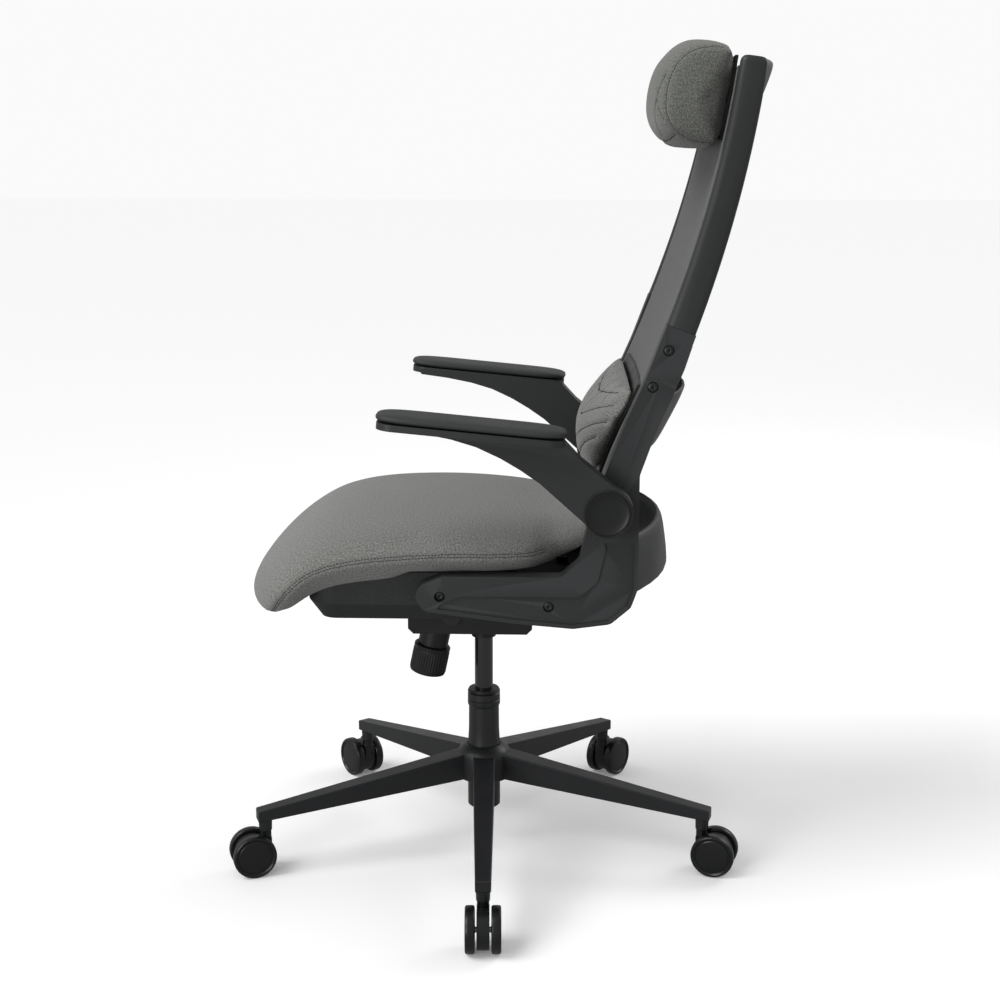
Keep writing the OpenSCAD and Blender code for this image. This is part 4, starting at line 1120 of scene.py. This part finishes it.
class CHAIR_OT_headrest(bpy.types.Operator):
    """Headrest cushion with sewn end panels and a quilted front"""
    bl_idname = "chair.headrest"
    bl_label = "Headrest"

    def execute(self, context):
        pad = pad_from("headrest_pad", "headrest_cushion", 5 * MM, 1.5 * MM, 6, 6 * MM)
        low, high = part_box("headrest_pad")
        width = high.x
        middle = Vector((0, (low.y + high.y) / 2 + 22 * MM, (low.z + high.z) / 2))
        lean = 8.5
        lines = []
        steps = 40
        end = []
        for i in range(steps + 1):
            angle = math.radians(-100 + 200 * i / steps)
            out, rise = math.cos(angle), math.sin(angle)
            end.append(Vector((
                width - 14 * MM,
                middle.y - 62 * MM * out + rise * 66 * MM * math.sin(math.radians(lean)),
                middle.z + 66 * MM * rise,
            )))
        lines.append(end)
        lines.append([Vector((x * MM, low.y + 25 * MM, low.z + 24 * MM)) for x in range(0, 160, 10)])
        lines.append([Vector((x * MM, low.y, middle.z + (x - 120) * 1.3 * MM)) for x in range(70, 156, 8)])
        lines.append([Vector((x * MM, low.y, middle.z - (x - 120) * 1.3 * MM)) for x in range(70, 156, 8)])
        sewn = [[spot for spot, _ in on_surface(pad, resampled(line, 3 * MM))] for line in mirrored(lines)]
        sink(pad, sewn, 2.0 * MM, 2.8 * MM)
        weave_map(pad.data)
        dress(pad, "seat", headrest_cloth(), ["headrest_pad"], crease=0)
        stitched("headrest_stitches", pad, sewn, "seat")
        return {"FINISHED"}


# ---- Arms ----


class CHAIR_OT_arms(bpy.types.Operator):
    """Flip-up arms with foam pads and dished caps over their pivots"""
    bl_idname = "chair.arms"
    bl_label = "Arms"

    def execute(self, context):
        for side, sign in SIDES.items():
            body = f"arm_{side[0]}"
            moulding(f"arm_{side}", f"armrest_{side}", body, textured_nylon(), 2.6 * MM, 4)
            self.cap(side, sign, body)
            self.pad(side, sign, body)
        return {"FINISHED"}

    def cap(self, side, sign, body):
        """Dished disc with a fine raised ring near its edge."""
        low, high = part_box(f"arm_cap_{side}")
        r = (high.z - low.z) / 2 / MM
        bm = lathe([
            (0, 0), (r, 0), (r, 1.6), (r - 0.7, 2.5), (r - 1.8, 2.6), (r - 2.4, 2.0), (r - 3.4, 2.0),
            (r - 3.9, 2.9), (r - 5.2, 2.9), (r - 6.4, 2.2), (r - 9, 1.4), (r - 16, 0.8), (0, 0.6),
        ], steps=96)
        inner = low.x if sign > 0 else high.x
        middle = (low + high) / 2
        place = Vector((inner, middle.y, middle.z))
        bmesh.ops.transform(bm, matrix=turned((sign, 0, 0), place), verts=bm.verts)
        dress(new_object(f"pivot_cap_{side}", bm), body, satin_polypropylene(),
              [f"arm_cap_{side}"], crease=35)

    def pad(self, side, sign, body):
        """Soft slab with round corners and a crowned top, on the slope of the arm."""
        low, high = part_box(f"arm_pad_{side}")
        slope = math.radians(-5.4)
        long = (high.y - low.y) / 2 / math.cos(slope)
        wide = (high.x - low.x) / 2
        thick = 6.5 * MM
        bm = pillow((3.6, 7, 3.0), 22)
        for vert in bm.verts:
            x, y, z = vert.co
            vert.co = Vector((x * (wide - 0.2 * MM), y * (long - 0.4 * MM), z * thick))
        bmesh.ops.rotate(bm, verts=bm.verts, cent=(0, 0, 0), matrix=Matrix.Rotation(slope, 3, "X"))
        bmesh.ops.translate(bm, verts=bm.verts, vec=(low + high) / 2)
        pad = new_object(f"armrest_pad_{side}", bm)
        dress(pad, body, skinned_polyurethane(), [f"arm_pad_{side}"], crease=0)
        smooth = pad.modifiers.new("smooth_skin", "SUBSURF")
        smooth.levels = smooth.render_levels = 1


# ---- Stage ----


class CHAIR_OT_stage(bpy.types.Operator):
    """Pale floor, soft studio light and the camera"""
    bl_idname = "chair.stage"
    bl_label = "Stage"

    def execute(self, context):
        stage = settings("chair_stage")
        floor = bmesh.new()
        bmesh.ops.create_grid(floor, x_segments=1, y_segments=1, size=30)
        ground = new_object("studio_floor", floor)
        made, tree = begin("pale_studio_floor")
        speck = 4 * MM
        if tree:
            body = add(tree, "ShaderNodeTexCoord").outputs["Object"]
            grit = add(tree, "ShaderNodeTexNoise", {"Vector": body, "Scale": 1 / speck}).outputs[0]
            pale = mix(tree, band(grit, 0.3, 0.7, 0, 0.06, tree), rgba(stage.floor_colour), (0.8, 0.8, 0.8, 1))
            # The floor shows pale but throws little light up under the chair
            seen = add(tree, "ShaderNodeLightPath").outputs["Is Camera Ray"]
            close(tree, add(tree, "ShaderNodeBsdfPrincipled", {
                "Base Color": mix(tree, seen, (0.25, 0.25, 0.25, 1), pale), "Roughness": 0.9,
                "Emission Color": rgba(stage.floor_colour), "Emission Strength": 0.12,
            }))
        ground.data.materials.append(made)
        sun = bpy.data.lights.new("key", "SUN")
        sun.energy = stage.sun
        sun.angle = math.radians(35)
        self.stand(sun, (1.2, -2.4, 3.6))
        self.soft_box("side_strip", (2.6, -1.6, 0.9), 1.0, stage.light_power)
        self.soft_box("back_rim", (-1.6, 2.6, 2.2), 1.6, stage.light_power)
        world = bpy.data.worlds.new("studio")
        world.use_nodes = True
        tree = world.node_tree
        seen = add(tree, "ShaderNodeLightPath").outputs["Is Camera Ray"]
        background = tree.nodes["Background"]
        background.inputs["Color"].default_value = rgba(stage.floor_colour)
        tree.links.new(band(seen, 0, 1, stage.sky, 1, tree), background.inputs["Strength"])
        context.scene.world = world
        context.scene.view_settings.view_transform = "Standard"
        self.camera(stage)
        return {"FINISHED"}

    def soft_box(self, name, place, size, power):
        """A square lamp that faces the chair."""
        lamp = bpy.data.lights.new(name, "AREA")
        lamp.shape = "SQUARE"
        lamp.size = size
        lamp.energy = power
        self.stand(lamp, place)

    def stand(self, lamp, place):
        """Puts a lamp at a place and turns it to the chair."""
        made = bpy.data.objects.new(lamp.name, lamp)
        made.location = place
        made.rotation_euler = (Vector((0, 0, 0.6)) - Vector(place)).to_track_quat("-Z", "Y").to_euler()
        bpy.context.scene.collection.objects.link(made)

    def camera(self, stage):
        """The camera stands on the sitter's left and looks slightly down."""
        level = math.cos(stage.camera_drop)
        look = Vector((
            -math.cos(stage.camera_turn) * level, -math.sin(stage.camera_turn) * level,
            -math.sin(stage.camera_drop),
        ))
        lens = bpy.data.cameras.new("camera")
        lens.lens = stage.lens
        made = bpy.data.objects.new("camera", lens)
        made.location = stage.camera_place
        made.rotation_euler = look.to_track_quat("-Z", "Y").to_euler()
        bpy.context.scene.collection.objects.link(made)
        bpy.context.scene.camera = made


# ---- Add-on ----

OPERATORS = (
    CHAIR_OT_stage, CHAIR_OT_star_base, CHAIR_OT_casters, CHAIR_OT_column, CHAIR_OT_mechanism,
    CHAIR_OT_tension_knob, CHAIR_OT_seat_shell, CHAIR_OT_seat_cushion, CHAIR_OT_back_frame, CHAIR_OT_screws,
    CHAIR_OT_back_cloth, CHAIR_OT_lumbar_pad, CHAIR_OT_headrest, CHAIR_OT_arms,
)


class CHAIR_PT_pieces(bpy.types.Panel):
    """The chair's settings and pieces"""
    bl_label = "Chair"
    bl_idname = "CHAIR_PT_pieces"
    bl_space_type = "VIEW_3D"
    bl_region_type = "UI"
    bl_category = "Chair"

    def draw(self, context):
        for group, kind in GROUPS.items():
            box = self.layout.box()
            box.label(text=kind.__doc__)
            for name in kind.__annotations__:
                box.prop(getattr(context.scene, group), name)
        for operator in OPERATORS:
            self.layout.operator(operator.bl_idname)


CLASSES = (*GROUPS.values(), *OPERATORS, CHAIR_PT_pieces)


def register():
    for kind in CLASSES:
        bpy.utils.register_class(kind)
    for group, kind in GROUPS.items():
        setattr(bpy.types.Scene, group, PointerProperty(type=kind))


def unregister():
    for group in GROUPS:
        delattr(bpy.types.Scene, group)
    for kind in reversed(CLASSES):
        bpy.utils.unregister_class(kind)


def main():
    """Registers the add-on and makes every piece."""
    register()
    for operator in OPERATORS:
        group, name = operator.bl_idname.split(".")
        getattr(getattr(bpy.ops, group), name)()


if __name__ == "__main__":
    main()
